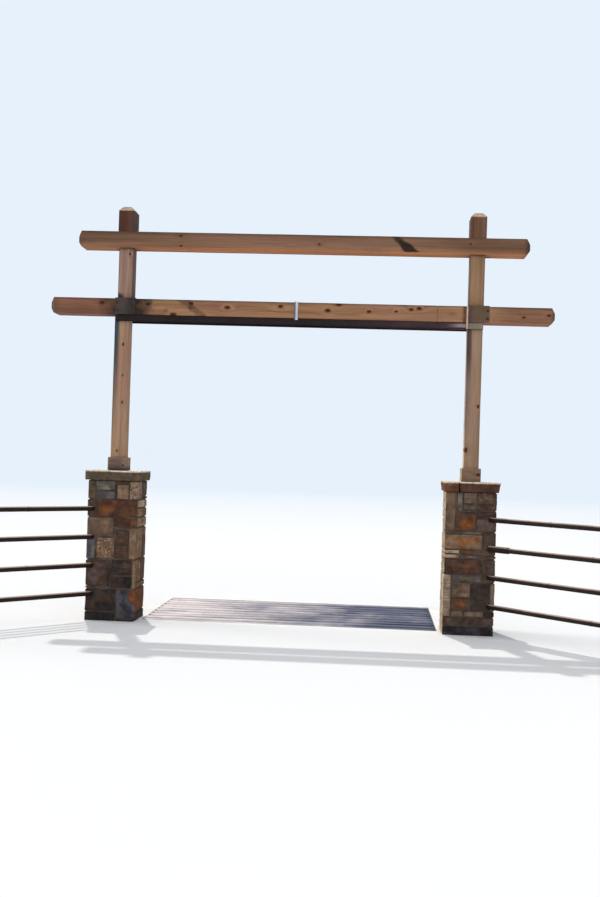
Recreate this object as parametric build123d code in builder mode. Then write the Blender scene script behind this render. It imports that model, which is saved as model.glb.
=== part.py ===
from build123d import *
from math import cos, radians, sin
import os

# A ranch entrance: a cattle grid in a concrete pit frame, between two stone piers
# that carry a timber gateway, with one bay of pipe fence splayed off each pier.
# Millimetres. X runs across the drive to the right, Y along the drive away from
# the viewer, Z up. Z = 0 is the underside of the foundations; the drive surface,
# level with the top of the grid, is at grade_height. Y = 0 is the piers' centre line.

# Driving sizes
grade_height = 300.0          # from the underside of the foundations to the drive surface

pier_side = 610.0             # square piers, 24 in of stone and core
pier_spacing = 4300.0         # centre to centre
pier_height = 1692.0          # stonework above the drive surface
cap_overhang = 36.0
cap_thickness = 121.0

post_side = 184.0
left_upper_shift = 25.0       # the upper lengths of the posts stand this far to the right
right_upper_shift = 4.0
upper_post_length = 626.0     # between the beams
stub_height = 308.0           # above the upper beam
stub_bevel_inset = 44.0
stub_bevel_drop = 52.0
collar_thickness = 25.0       # boards round the foot of each post
collar_height = 162.0

beam_depth = 292.0            # front to back; both beams lie flat
beam_height = 196.0
lower_beam_length = 6131.0
lower_beam_bottom = 3722.0    # above the drive surface
upper_beam_length = 5497.0
beam_shift = 28.0             # both beams reach a little further to the right
beam_joint_inset = 463.0      # from the right post's centre in to the butt joint
beam_bevel_inset = 56.0
beam_bevel_length = 44.0

channel_length = 4467.0       # steel channel under the lower beam, web up
channel_shift = 8.0           # to the right of mid-opening
channel_height = 80.0
channel_thickness = 9.0
channel_recess = 20.0         # inside the beam's front and back faces

saddle_width = 252.0          # steel plates over the lower beam at the posts
saddle_thickness = 8.0
left_saddle_shift = 45.0
right_saddle_shift = 33.0

strap_thickness = 5.0
middle_strap_width = 46.0
middle_strap_x = -10.0
strap_lap = 20.0              # the middle strap laps this far over the channel
end_strap_width = 20.0

kerb_width = 150.0            # concrete frame round the pit
pier_margin = 40.0            # all the kerb that shows between a pier and the pit
pit_length = 2280.0           # along the drive, inside the kerbs
pit_front = -30.0             # Y of the front kerb's inner face
ledge_width = 80.0            # carries the ends of the bearers

bar_diameter = 114.3
bar_count = 10
bar_seat_depth = 12.0         # how deep a bar sits in the bearers' coped tops
bearer_count = 5
bearer_height = 140.0
bearer_width = 100.0
bearer_web = 8.0
bearer_flange = 10.0
bearer_edge = 245.0           # from a side kerb to the first bearer's centre
end_clearance = 4.0           # at the ends of bars and bearers

rail_diameter = 60.3
rail_count = 4
rail_pitch = 342.0
left_lowest_rail = 321.0      # centre above the drive surface
right_lowest_rail = 346.0
fence_bay = 2440.0            # from the pier's face to the fence post's centre
fence_post_diameter = 88.9
fence_post_stand = 68.0       # the fence posts' tops over the highest rail's centre
fence_post_dome = 22.0
left_splay_angle = 50.1       # degrees from the X axis, towards the viewer
right_splay_angle = 48.9
fence_inset = 60.0            # from a pier's outer corner along its front face

# Derived sizes
pier_x = pier_spacing / 2
pier_half = pier_side / 2
pier_top = grade_height + pier_height
cap_side = pier_side + 2 * cap_overhang
cap_top = pier_top + cap_thickness
collar_side = post_side + 2 * collar_thickness

post_front = -post_side / 2
beam_front = -beam_depth / 2
beam_back = beam_depth / 2
lower_bottom = grade_height + lower_beam_bottom
lower_top = lower_bottom + beam_height
upper_bottom = lower_top + upper_post_length
upper_top = upper_bottom + beam_height
stub_width = beam_height      # the stubs are cut from the beams' timber
stub_shaft_top = upper_top + stub_height - stub_bevel_drop
joint_x = pier_x - beam_joint_inset
lower_left = beam_shift - lower_beam_length / 2
lower_right = beam_shift + lower_beam_length / 2
upper_left = beam_shift - upper_beam_length / 2
upper_right = beam_shift + upper_beam_length / 2

highest_rail = max(left_lowest_rail, right_lowest_rail) + (rail_count - 1) * rail_pitch
fence_post_top = grade_height + highest_rail + fence_post_stand

channel_width = beam_depth - 2 * channel_recess
channel_bottom = lower_bottom - channel_height
channel_web = lower_bottom - channel_thickness

opening = pier_spacing - pier_side
pit_width = opening - 2 * pier_margin
pit_back = pit_front + pit_length
pit_y = (pit_front + pit_back) / 2
bar_z = grade_height - bar_diameter / 2
bar_pitch = pit_length / bar_count
bar_length = pit_width - 2 * end_clearance
bearer_top = grade_height - bar_diameter + bar_seat_depth
bearer_bottom = bearer_top - bearer_height
bearer_length = pit_length - 2 * end_clearance
bearer_reach = pit_width / 2 - bearer_edge
bearer_pitch = 2 * bearer_reach / (bearer_count - 1)

os.makedirs("parts", exist_ok=True)


def block(x_low, x_high, y_low, y_high, z_low, z_high, mode=Mode.ADD):
    """Adds a plain rectangular block to the open part, given by its faces."""
    with Locations(((x_low + x_high) / 2, (y_low + y_high) / 2, (z_low + z_high) / 2)):
        Box(x_high - x_low, y_high - y_low, z_high - z_low, mode=mode)


def bevelled_tip(plane, width, height, inset, length):
    """Adds a truncated pyramid on a plane, wide end on the plane."""
    with BuildSketch(plane) as wide:
        Rectangle(width, height)
    with BuildSketch(plane.offset(length)) as narrow:
        Rectangle(width - 2 * inset, height - 2 * inset)
    loft(sections=[wide.sketch.face(), narrow.sketch.face()])


def post_length(x_middle, width, depth, z_low, z_high):
    """Adds one upright length of timber, centred on the gateway's line."""
    block(x_middle - width / 2, x_middle + width / 2, -depth / 2, depth / 2, z_low, z_high)


def timber(x_low, x_high, z_low, left_tip, right_tip):
    """Adds a beam along X, with bevelled tips where asked for."""
    z_mid = z_low + beam_height / 2
    x_start = x_low + beam_bevel_length if left_tip else x_low
    x_stop = x_high - beam_bevel_length if right_tip else x_high
    block(x_start, x_stop, beam_front, beam_back, z_low, z_low + beam_height)
    if left_tip:
        plane = Plane(origin=(x_start, 0, z_mid), x_dir=(0, 1, 0), z_dir=(-1, 0, 0))
        bevelled_tip(plane, beam_depth, beam_height, beam_bevel_inset, beam_bevel_length)
    if right_tip:
        plane = Plane(origin=(x_stop, 0, z_mid), x_dir=(0, 1, 0), z_dir=(1, 0, 0))
        bevelled_tip(plane, beam_depth, beam_height, beam_bevel_inset, beam_bevel_length)


# Piers, caps, posts and collars, left and right; each post is in three lengths,
# below, between and above the beams
for side, sign, upper_shift in (("left", -1, left_upper_shift), ("right", 1, right_upper_shift)):
    x = sign * pier_x
    x_upper = x + upper_shift

    with BuildPart() as pier:
        block(x - pier_half, x + pier_half, -pier_half, pier_half, 0, pier_top)
    pier.part.label = f"pier_{side}"
    export_step(pier.part, f"parts/pier_{side}.step")

    with BuildPart() as cap:
        with Locations((x, 0, pier_top + cap_thickness / 2)):
            Box(cap_side, cap_side, cap_thickness)
    cap.part.label = f"pier_cap_{side}"
    export_step(cap.part, f"parts/pier_cap_{side}.step")

    with BuildPart() as lower_post:
        post_length(x, post_side, post_side, cap_top, channel_web)
    lower_post.part.label = f"lower_post_{side}"
    export_step(lower_post.part, f"parts/lower_post_{side}.step")

    with BuildPart() as upper_post:
        post_length(x_upper, post_side, post_side, lower_top, upper_bottom)
    upper_post.part.label = f"upper_post_{side}"
    export_step(upper_post.part, f"parts/upper_post_{side}.step")

    with BuildPart() as stub:
        post_length(x_upper, stub_width, beam_depth, upper_top, stub_shaft_top)
        tip_plane = Plane(origin=(x_upper, 0, stub_shaft_top))
        bevelled_tip(tip_plane, stub_width, beam_depth, stub_bevel_inset, stub_bevel_drop)
    stub.part.label = f"post_stub_{side}"
    export_step(stub.part, f"parts/post_stub_{side}.step")

    with BuildPart() as collar:
        with BuildSketch(Plane.XY.offset(cap_top)):
            with Locations((x, 0)):
                Rectangle(collar_side, collar_side)
                Rectangle(post_side, post_side, mode=Mode.SUBTRACT)
        extrude(amount=collar_height)
    collar.part.label = f"post_collar_{side}"
    export_step(collar.part, f"parts/post_collar_{side}.step")

# The upper beam, and the lower beam in its two lengths
with BuildPart() as upper_beam:
    timber(upper_left, upper_right, upper_bottom, True, True)
upper_beam.part.label = "upper_beam"
export_step(upper_beam.part, "parts/upper_beam.step")

with BuildPart() as lower_beam:
    timber(lower_left, joint_x, lower_bottom, True, False)
lower_beam.part.label = "lower_beam"
export_step(lower_beam.part, "parts/lower_beam.step")

with BuildPart() as lower_beam_end:
    timber(joint_x, lower_right, lower_bottom, False, True)
lower_beam_end.part.label = "lower_beam_end"
export_step(lower_beam_end.part, "parts/lower_beam_end.step")

# The channel that carries the lower beam across the opening; its web lies on the posts
with BuildPart() as channel:
    with BuildSketch(Plane.YZ.offset(channel_shift - channel_length / 2)):
        with Locations((0, channel_bottom + channel_height / 2)):
            Rectangle(channel_width, channel_height)
        with Locations((0, channel_bottom + (channel_height - channel_thickness) / 2)):
            Rectangle(
                channel_width - 2 * channel_thickness,
                channel_height - channel_thickness,
                mode=Mode.SUBTRACT,
            )
    extrude(amount=channel_length)
channel.part.label = "beam_channel"
export_step(channel.part, "parts/beam_channel.step")

# Saddles: a plate down the beam's face with a flange back over its top to the post
saddle_places = (
    ("left", -pier_x + left_saddle_shift),
    ("right", pier_x + right_saddle_shift),
)
for side, x in saddle_places:
    x_low = x - saddle_width / 2
    x_high = x + saddle_width / 2
    plate_front = beam_front - saddle_thickness
    with BuildPart() as saddle:
        block(x_low, x_high, plate_front, beam_front, lower_bottom, lower_top + saddle_thickness)
        block(x_low, x_high, plate_front, post_front, lower_top, lower_top + saddle_thickness)
    saddle.part.label = f"beam_saddle_{side}"
    export_step(saddle.part, f"parts/beam_saddle_{side}.step")

# The bright strap over the beam at mid-span, open below
with BuildPart() as middle_strap:
    x_low = middle_strap_x - middle_strap_width / 2
    x_high = middle_strap_x + middle_strap_width / 2
    strap_bottom = lower_bottom - strap_lap
    strap_top = lower_top + strap_thickness
    block(x_low, x_high, beam_front - strap_thickness, beam_back + strap_thickness, strap_bottom, strap_top)
    block(x_low, x_high, beam_front, beam_back, strap_bottom, lower_top, mode=Mode.SUBTRACT)
middle_strap.part.label = "middle_strap"
export_step(middle_strap.part, "parts/middle_strap.step")

# The narrow strap down the beam and channel beside the right saddle
with BuildPart() as end_strap:
    x_high = pier_x + right_saddle_shift - saddle_width / 2
    x_low = x_high - end_strap_width
    block(x_low, x_high, beam_front - strap_thickness, beam_front, channel_bottom, lower_top)
end_strap.part.label = "end_strap"
export_step(end_strap.part, "parts/end_strap.step")

# Concrete pit frame, with ledges for the bearers; the piers stand over its sides
kerb_half = opening / 2
pit_half = pit_width / 2
frame_half = pit_half + kerb_width

with BuildPart() as kerb_front:
    block(-kerb_half, kerb_half, pit_front - kerb_width, pit_front, 0, grade_height)
    block(-pit_half, pit_half, pit_front, pit_front + ledge_width, 0, bearer_bottom)
kerb_front.part.label = "kerb_front"
export_step(kerb_front.part, "parts/kerb_front.step")

with BuildPart() as kerb_back:
    block(-frame_half, frame_half, pit_back, pit_back + kerb_width, 0, grade_height)
    block(-pit_half, pit_half, pit_back - ledge_width, pit_back, 0, bearer_bottom)
kerb_back.part.label = "kerb_back"
export_step(kerb_back.part, "parts/kerb_back.step")

side_kerbs = (
    ("left", -kerb_half, -frame_half),
    ("right", pit_half, pit_half),
)
for side, narrow_low, wide_low in side_kerbs:
    with BuildPart() as kerb:
        block(narrow_low, narrow_low + pier_margin, pit_front, pier_half, 0, grade_height)
        block(wide_low, wide_low + kerb_width, pier_half, pit_back, 0, grade_height)
    kerb.part.label = f"kerb_{side}"
    export_step(kerb.part, f"parts/kerb_{side}.step")

# Grid bars across the drive
bar_start = Plane.YZ.offset(-bar_length / 2)
bar_places = [(pit_front + (i + 0.5) * bar_pitch, bar_z) for i in range(bar_count)]

for i, place in enumerate(bar_places):
    with BuildPart() as bar:
        with BuildSketch(bar_start):
            with Locations(place):
                Circle(bar_diameter / 2)
        extrude(amount=bar_length)
    bar.part.label = f"grid_bar_{i + 1:02d}"
    export_step(bar.part, f"parts/grid_bar_{i + 1:02d}.step")

# Bearers along the drive, coped to the bars
for i in range(bearer_count):
    x = -bearer_reach + i * bearer_pitch
    z_mid = (bearer_top + bearer_bottom) / 2
    pocket_height = bearer_height - 2 * bearer_flange
    pocket_width = (bearer_width - bearer_web) / 2
    pocket_x = (bearer_web + pocket_width) / 2
    with BuildPart() as bearer:
        with Locations((x, pit_y, z_mid)):
            Box(bearer_width, bearer_length, bearer_height)
        with Locations((x - pocket_x, pit_y, z_mid), (x + pocket_x, pit_y, z_mid)):
            Box(pocket_width, bearer_length, pocket_height, mode=Mode.SUBTRACT)
        with BuildSketch(bar_start):
            with Locations(*bar_places):
                Circle(bar_diameter / 2)
        extrude(amount=bar_length, mode=Mode.SUBTRACT)
    bearer.part.label = f"grid_bearer_{i + 1}"
    export_step(bearer.part, f"parts/grid_bearer_{i + 1}.step")

# Fence panels: four rails welded to an end post, cut flush to the pier's front face
rail_start = pier_x + pier_half - fence_inset
fence_places = (
    ("left", -pier_x, -rail_start, 180.0 + left_splay_angle, left_lowest_rail),
    ("right", pier_x, rail_start, -right_splay_angle, right_lowest_rail),
)
for side, pier_centre, start_x, heading, lowest_rail in fence_places:
    step_x = cos(radians(heading))
    step_y = sin(radians(heading))
    end_x = start_x + fence_bay * step_x
    end_y = -pier_half + fence_bay * step_y
    post_shaft = fence_post_top - fence_post_dome
    with BuildPart() as panel:
        for level in range(rail_count):
            rail_z = grade_height + lowest_rail + level * rail_pitch
            back_x = start_x - rail_diameter * step_x
            back_y = -pier_half - rail_diameter * step_y
            along = Plane(origin=(back_x, back_y, rail_z), z_dir=(step_x, step_y, 0))
            with BuildSketch(along):
                Circle(rail_diameter / 2)
            extrude(amount=fence_bay + rail_diameter)
        block(
            pier_centre - pier_half,
            pier_centre + pier_half,
            -pier_half,
            pier_half,
            0,
            pier_top,
            mode=Mode.SUBTRACT,
        )
        with BuildSketch(Plane(origin=(end_x, end_y, 0))):
            Circle(fence_post_diameter / 2)
        extrude(amount=post_shaft)
        with BuildSketch(Plane(origin=(end_x, end_y, post_shaft))):
            Circle(fence_post_diameter / 2)
        with BuildSketch(Plane(origin=(end_x, end_y, post_shaft + fence_post_dome))):
            Circle(fence_post_diameter / 4)
        loft()
    panel.part.label = f"fence_panel_{side}"
    export_step(panel.part, f"parts/fence_panel_{side}.step")
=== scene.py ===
import math
import random
from functools import reduce

import bmesh
import bpy
from mathutils import Matrix, Vector
from mathutils.noise import noise


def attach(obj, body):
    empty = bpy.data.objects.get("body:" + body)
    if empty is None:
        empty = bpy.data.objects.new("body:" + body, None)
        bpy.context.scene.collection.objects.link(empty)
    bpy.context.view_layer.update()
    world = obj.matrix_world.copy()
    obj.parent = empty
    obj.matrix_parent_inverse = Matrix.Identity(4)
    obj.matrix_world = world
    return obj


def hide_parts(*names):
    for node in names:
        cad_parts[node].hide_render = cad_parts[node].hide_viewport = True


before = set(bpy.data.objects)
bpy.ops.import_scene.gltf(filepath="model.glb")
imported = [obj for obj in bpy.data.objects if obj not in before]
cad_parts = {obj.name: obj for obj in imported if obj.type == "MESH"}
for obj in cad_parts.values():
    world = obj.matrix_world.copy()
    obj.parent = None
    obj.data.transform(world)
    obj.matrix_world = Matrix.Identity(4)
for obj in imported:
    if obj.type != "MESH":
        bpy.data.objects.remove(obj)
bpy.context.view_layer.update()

# A ranch entrance: cattle grid, stone piers, timber gateway and two bays of pipe fence.
# Metres. The drive surface is at z = DRIVE; what lies below it is in the ground.
DRIVE = 0.300
MM = 0.001
SIDES = (("left", -1), ("right", 1))


# ---- Colours, written as the eye sees them (0..255) ----
def shade(red, green, blue):
    """A display colour as the linear colour that the shaders use."""
    def channel(value):
        value /= 255
        return value / 12.92 if value <= 0.04045 else ((value + 0.055) / 1.055) ** 2.4
    return (channel(red), channel(green), channel(blue), 1.0)


STONE = {
    "soot": shade(42, 38, 40), "charcoal": shade(52, 45, 42), "graphite": shade(64, 60, 63),
    "umber": shade(70, 54, 45), "plum": shade(74, 51, 42), "bark": shade(84, 61, 46),
    "mauve": shade(85, 70, 66), "olive": shade(81, 70, 57), "slate": shade(78, 76, 82),
    "ash": shade(84, 77, 74), "russet": shade(94, 60, 41), "ochre": shade(126, 74, 34),
    "taupe": shade(99, 80, 66), "tan": shade(114, 91, 72), "fawn": shade(126, 98, 74),
    "pebble": shade(112, 102, 92), "sand": shade(134, 114, 98), "bisque": shade(158, 140, 118),
    # The last colour is painted sunlight, laid on faces that look left
    "painted_sunlight": shade(192, 173, 144),
}


def blend_tone(a, b, t):
    return tuple(a[i] + (b[i] - a[i]) * t for i in range(3)) + (1.0,)


def layered(colour, *layers):
    """Blends display colours over a linear one in turn; each layer is (display colour, amount)."""
    for rgb, amount in layers:
        colour = blend_tone(colour, shade(*rgb), amount)
    return colour


def mottled(colour, p, amount, scale, strength=1.0):
    """Lightens and darkens a colour in soft patches."""
    lift = strength * (1 + amount * noise(p * scale))
    return tuple(c * lift for c in colour[:3]) + (1.0,)


def ease(value, low, high):
    """0 below low, 1 above high, smooth between."""
    t = min(1.0, max(0.0, (value - low) / (high - low)))
    return t * t * (3 - 2 * t)


def fade(value, low, high):
    """1 below low, 0 above high, smooth between."""
    return 1 - ease(value, low, high)


# ---- Shader helpers ----
def add_node(tree, kind, inputs=None, **settings):
    """A shader node; each input is an output to link or a value to set."""
    made = tree.nodes.new("ShaderNode" + kind)
    for key, value in settings.items():
        setattr(made, key, value)
    for key, value in (inputs or {}).items():
        if isinstance(value, bpy.types.NodeSocket):
            tree.links.new(value, made.inputs[key])
        else:
            made.inputs[key].default_value = value
    return made


class Surface:
    """A material in the making; its methods add nodes and return what comes out of them."""

    def __init__(self, name, roughness, specular=0.35, metallic=0.0):
        self.material = bpy.data.materials.new(name)
        self.material.use_nodes = True
        self.tree = self.material.node_tree
        self.shader = self.tree.nodes["Principled BSDF"]
        self.shader.inputs["Roughness"].default_value = roughness
        self.shader.inputs["Specular IOR Level"].default_value = specular
        self.shader.inputs["Metallic"].default_value = metallic
        # Every piece sits at the origin, so these coordinates are those of the shared frame
        self.at = self.node("TexCoord").outputs["Object"]

    def node(self, kind, inputs=None, **settings):
        return add_node(self.tree, kind, inputs, **settings)

    def link(self, output, socket):
        self.tree.links.new(output, self.shader.inputs[socket])

    def attribute(self, name, output="Color"):
        return self.node("Attribute", attribute_name=name).outputs[output]

    def parts(self, vector):
        return self.node("SeparateXYZ", {0: vector}).outputs

    def stretched(self, scale):
        return self.node("Mapping", {"Vector": self.at, "Scale": scale}).outputs["Vector"]

    def cloud(self, scale, detail=4.0, roughness=0.55, distortion=0.0, at=None):
        inputs = {"Vector": at or self.at, "Scale": scale, "Detail": detail,
                  "Roughness": roughness, "Distortion": distortion}
        return self.node("TexNoise", inputs).outputs["Fac"]

    def streaks(self, scale, detail, roughness):
        """A cloud stretched by another scale on each axis."""
        return self.cloud(1.0, detail, roughness, at=self.stretched(scale))

    def spread(self, value, low, high, to_low=0.0, to_high=1.0):
        inputs = {"Value": value, "From Min": low, "From Max": high,
                  "To Min": to_low, "To Max": to_high}
        return self.node("MapRange", inputs, clamp=True).outputs["Result"]

    def maths(self, operation, a, b):
        return self.node("Math", {0: a, 1: b}, operation=operation).outputs[0]

    def mix(self, factor, a, b, mode="MIX"):
        inputs = {0: factor, 6: a, 7: b}
        return self.node("Mix", inputs, data_type="RGBA", blend_type=mode).outputs[2]

    def varied(self, colour, source, dark, light, low=0.3, high=0.7):
        """Multiplies a colour by dark to light, as the source goes from low to high."""
        inputs = {0: colour, "Scale": self.spread(source, low, high, dark, light)}
        return self.node("VectorMath", inputs, operation="SCALE").outputs["Vector"]

    def patched(self, colour, source, low, high, amount, patch):
        """Lays another colour over, in full amount where the source has reached high."""
        return self.mix(self.spread(source, low, high, 0.0, amount), colour, patch)

    def finished(self, colour, height, distance, strength=1.0):
        """Joins the colour and the relief to the shader and returns the material."""
        self.link(colour, "Base Color")
        relief = {"Height": height, "Distance": distance, "Strength": strength}
        self.link(self.node("Bump", relief).outputs["Normal"], "Normal")
        return self.material


# ---- Materials ----
def stone_material(kind):
    """Quarried stone whose own colour is in the mesh; kind is plain, banded or speckled."""
    stone = Surface("stone_" + kind, 0.92, 0.1)
    broad = stone.cloud(11.0, 5.0, 0.6, 0.4)
    fine = stone.cloud(70.0, 6.0, 0.7)
    colour = stone.varied(stone.attribute("tone"), broad, 0.62, 1.4)
    colour = stone.varied(colour, fine, 0.72, 1.3)
    rust, lichen = stone.cloud(6.5, 3.0, 0.5, 1.2), stone.cloud(17.0, 6.0, 0.75)
    colour = stone.patched(colour, rust, 0.6, 0.76, 0.4, STONE["russet"])
    colour = stone.patched(colour, lichen, 0.63, 0.7, 0.35, STONE["sand"])
    height = stone.maths("ADD", stone.maths("MULTIPLY", fine, 0.6), broad)
    if kind == "banded":
        layers = stone.cloud(1.0, 4.0, 0.6, 0.6, stone.stretched((5.0, 5.0, 75.0)))
        colour = stone.varied(colour, layers, 0.7, 1.32, 0.35, 0.65)
        height = stone.maths("ADD", height, layers)
    if kind == "speckled":
        grains = stone.node("TexVoronoi", {"Vector": stone.at, "Scale": 62.0, "Randomness": 1.0})
        pick = stone.node("SeparateColor", {0: grains.outputs["Color"]}).outputs[0]
        colour = stone.patched(colour, pick, 0.66, 0.74, 0.75, STONE["umber"])
        colour = stone.patched(colour, pick, 0.2, 0.14, 0.55, STONE["ochre"])
        colour = stone.patched(colour, pick, 0.1, 0.05, 0.7, STONE["bisque"])
        height = stone.maths("ADD", height, grains.outputs["Distance"])
    return stone.finished(colour, height, 0.004, 0.8)


def mortar_material():
    made = Surface("mortar", 0.95, 0.1)
    grit = made.cloud(160.0, 4.0, 0.7)
    patches = made.spread(made.cloud(9.0), 0.35, 0.65)
    colour = made.varied(made.mix(patches, shade(66, 55, 48), shade(92, 79, 69)), grit, 0.75, 1.25)
    return made.finished(colour, grit, 0.003)


def concrete_material(name, light, dark, across):
    """Pale broomed concrete; across is the scale that stretches the broom's lines."""
    made = Surface(name, 0.9, 0.3)
    broad = made.spread(made.cloud(2.3, 5.0, 0.6), 0.3, 0.7)
    grit = made.cloud(190.0, 4.0, 0.75)
    broom = made.streaks(across, 3.0, 0.6)
    colour = made.varied(made.mix(broad, shade(*light), shade(*dark)), grit, 0.88, 1.1)
    colour = made.varied(colour, broom, 0.93, 1.05)
    pores = made.cloud(75.0, 2.0, 0.4)
    colour = made.patched(colour, pores, 0.7, 0.74, 0.5, shade(120, 112, 104))
    height = made.maths("ADD", made.maths("MULTIPLY", broom, 1.5), grit)
    return made.finished(colour, height, 0.0015)


def wood_material(name, axis, knots):
    """Sawn softwood with its grain along X or Z; knots are (along, across, size) in metres."""
    wood = Surface(name, 0.8, 0.12)
    lying = axis == "X"

    def along_grain(along, across):
        return (along, across, across) if lying else (across, across, along)

    def square(value):
        return wood.maths("MULTIPLY", value, value)

    parts = wood.parts(wood.at)
    run, cross = (parts[0], parts[2]) if lying else (parts[2], parts[0])
    cores, rims, halos = [], [], []
    for along_at, across_at, size in knots:
        far_run = wood.maths("MULTIPLY", wood.maths("SUBTRACT", run, along_at), 0.62 / size)
        far_cross = wood.maths("MULTIPLY", wood.maths("SUBTRACT", cross, across_at), 1 / size)
        squares = wood.maths("ADD", square(far_run), square(far_cross))
        cores.append(wood.spread(squares, 0.25, 0.5, 1.0, 0.0))
        rims.append(wood.spread(squares, 0.6, 1.1, 1.0, 0.0))
        halos.append(wood.maths("DIVIDE", 1.0, wood.maths("ADD", 1.0, squares)))
    fibre = wood.streaks(along_grain(3.5, 150.0), 5.0, 0.65)
    figure_at = wood.stretched(along_grain(0.5, 16.0))
    if knots:
        halo = reduce(lambda a, b: wood.maths("ADD", a, b), halos)
        push = wood.node("CombineXYZ", {0: halo, 1: halo, 2: halo}).outputs[0]
        figure_at = wood.node("VectorMath", {0: figure_at, 1: push}, operation="ADD").outputs[0]
    figure = wood.cloud(1.0, 4.0, 0.6, 0.8, figure_at)
    inputs = {"Vector": figure_at, "Scale": 1.4, "Distortion": 5.0,
              "Detail": 3.0, "Detail Scale": 0.8}
    rings = wood.node("TexWave", inputs, wave_type="BANDS", wave_profile="SAW",
                      bands_direction="Z" if lying else "X").outputs["Fac"]
    colour = wood.varied(wood.attribute("tone"), figure, 0.7, 1.34)
    colour = wood.varied(colour, fibre, 0.8, 1.2)
    late = wood.maths("MULTIPLY", wood.spread(rings, 0.55, 1.0, 0.0, 0.32),
                      wood.spread(figure, 0.3, 0.6, 0.4, 1.0))
    colour = wood.mix(late, colour, shade(98, 58, 38))
    weather = wood.cloud(0.35, 3.0, at=wood.stretched(along_grain(0.5, 16.0)))
    colour = wood.patched(colour, weather, 0.52, 0.72, 0.22, shade(128, 114, 104))
    for discs, amount, tone in ((rims, 0.65, (104, 58, 31)), (cores, 0.88, (50, 26, 15))):
        if discs:
            nearest = reduce(lambda a, b: wood.maths("MAXIMUM", a, b), discs)
            colour = wood.mix(wood.maths("MULTIPLY", nearest, amount), colour, shade(*tone))
    # The per-vertex darkening turns the wood blackish: real stains, and painted shade where the
    # tone functions put it
    blotch = wood.streaks((9.0, 9.0, 9.0), 3.0, 0.5)
    edge = wood.maths("ADD", wood.attribute("stain_and_shade", "Fac"),
                      wood.spread(blotch, 0.3, 0.7, -0.14, 0.14))
    colour = wood.patched(colour, edge, 0.3, 0.8, 0.93, shade(32, 24, 23))
    height = wood.maths("ADD", fibre, wood.maths("MULTIPLY", rings, 0.35))
    return wood.finished(colour, height, 0.0012)


def steel_material(name, light, dark, rust, roughness, metallic=0.0, rusty=0.35,
                   toned=False, painted_top_light=None):
    """Weathered steel: two tones that drift, rust blooms and scuffs. If toned, the mesh's tone is
    a factor on the colour; the top colour, if given, is painted on what faces up as painted
    sunlight."""
    steel = Surface(name, roughness, 0.2, metallic)
    broad = steel.spread(steel.cloud(4.5, 5.0, 0.6, 0.5), 0.35, 0.65)
    fine = steel.cloud(85.0, 5.0, 0.7)
    colour = steel.varied(steel.mix(broad, shade(*light), shade(*dark)), fine, 0.78, 1.25)
    bloom = steel.cloud(13.0, 6.0, 0.7, 0.8)
    colour = steel.patched(colour, bloom, 0.54, 0.68, rusty, shade(*rust))
    if toned:
        colour = steel.mix(1.0, colour, steel.attribute("tone"), "MULTIPLY")
    # Painted sunlight: what faces up is paled
    if painted_top_light:
        upward = steel.parts(steel.node("NewGeometry").outputs["Normal"])[2]
        colour = steel.patched(colour, upward, 0.5, 0.78, 0.9, shade(*painted_top_light))
    scuffs = steel.spread(fine, 0.3, 0.7, roughness - 0.1, min(1.0, roughness + 0.14))
    steel.link(scuffs, "Roughness")
    return steel.finished(colour, fine, 0.0008)


def grid_material():
    """Grid pipes: painted glare pales them towards the left, and their steel is a dark blue-grey
    of painted sky reflection towards the right.
    """
    made = Surface("grid_pipe_with_painted_glare", 0.55, 0.3, 0.2)
    lines = made.streaks((1.1, 26.0, 26.0), 6.0, 0.65)
    fine = made.cloud(90.0, 5.0, 0.7)
    wander = made.spread(made.cloud(1.7), 0.3, 0.7, -0.9, 0.9)
    # Painted glare pales the pipes towards the left
    painted_glare = made.spread(made.maths("ADD", made.parts(made.at)[0], wander), -1.9, 1.3, 1.0, 0.0)
    grain = made.spread(lines, 0.35, 0.65)
    # The steel's dark blue-grey is painted sky reflection
    steel = made.mix(grain, shade(32, 38, 58), shade(104, 110, 134))
    pale = made.mix(grain, shade(170, 160, 160), shade(242, 230, 228))
    colour = made.mix(painted_glare, steel, pale)
    rust = made.cloud(8.0, 6.0, 0.7)
    colour = made.patched(colour, rust, 0.6, 0.7, 0.4, shade(104, 82, 70))
    colour = made.varied(colour, fine, 0.84, 1.14)
    made.link(made.spread(lines, 0.3, 0.7, 0.42, 0.75), "Roughness")
    return made.finished(colour, lines, 0.0012)


# ---- Mesh helpers ----
class Soup:
    """Collects closed shells into one mesh, with a tone at each vertex and a darkening that
    carries stains and painted shade.
    """

    def __init__(self):
        self.verts, self.faces, self.slots = [], [], []
        self.tones, self.stains_and_shade = [], []

    def add(self, verts, faces, slot=0, tone=None, stain_and_shade=None):
        start = len(self.verts)
        self.verts += [tuple(v) for v in verts]
        self.faces += [[start + i for i in face] for face in faces]
        self.slots += [slot] * len(faces)
        self.tones += [tone(v) if tone else (1, 1, 1, 1) for v in verts]
        self.stains_and_shade += [stain_and_shade(v) if stain_and_shade else 0.0 for v in verts]

    def piece(self, name, materials, nodes, slot, smooth=True):
        """Makes the object, which stands in for the named nodes of the solid model."""
        mesh = bpy.data.meshes.new(name)
        mesh.from_pydata(self.verts, [], self.faces)
        for each in materials:
            mesh.materials.append(each)
        mesh.polygons.foreach_set("material_index", self.slots)
        mesh.polygons.foreach_set("use_smooth", [smooth] * len(self.faces))
        tone = mesh.attributes.new("tone", "FLOAT_COLOR", "POINT")
        tone.data.foreach_set("color", [c for each in self.tones for c in each])
        stain_and_shade = mesh.attributes.new("stain_and_shade", "FLOAT", "POINT")
        stain_and_shade.data.foreach_set("value", self.stains_and_shade)
        mesh.update()
        made = bpy.data.objects.new(name, mesh)
        bpy.context.scene.collection.objects.link(made)
        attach(made, "root")
        if nodes:
            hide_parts(*nodes)


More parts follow.
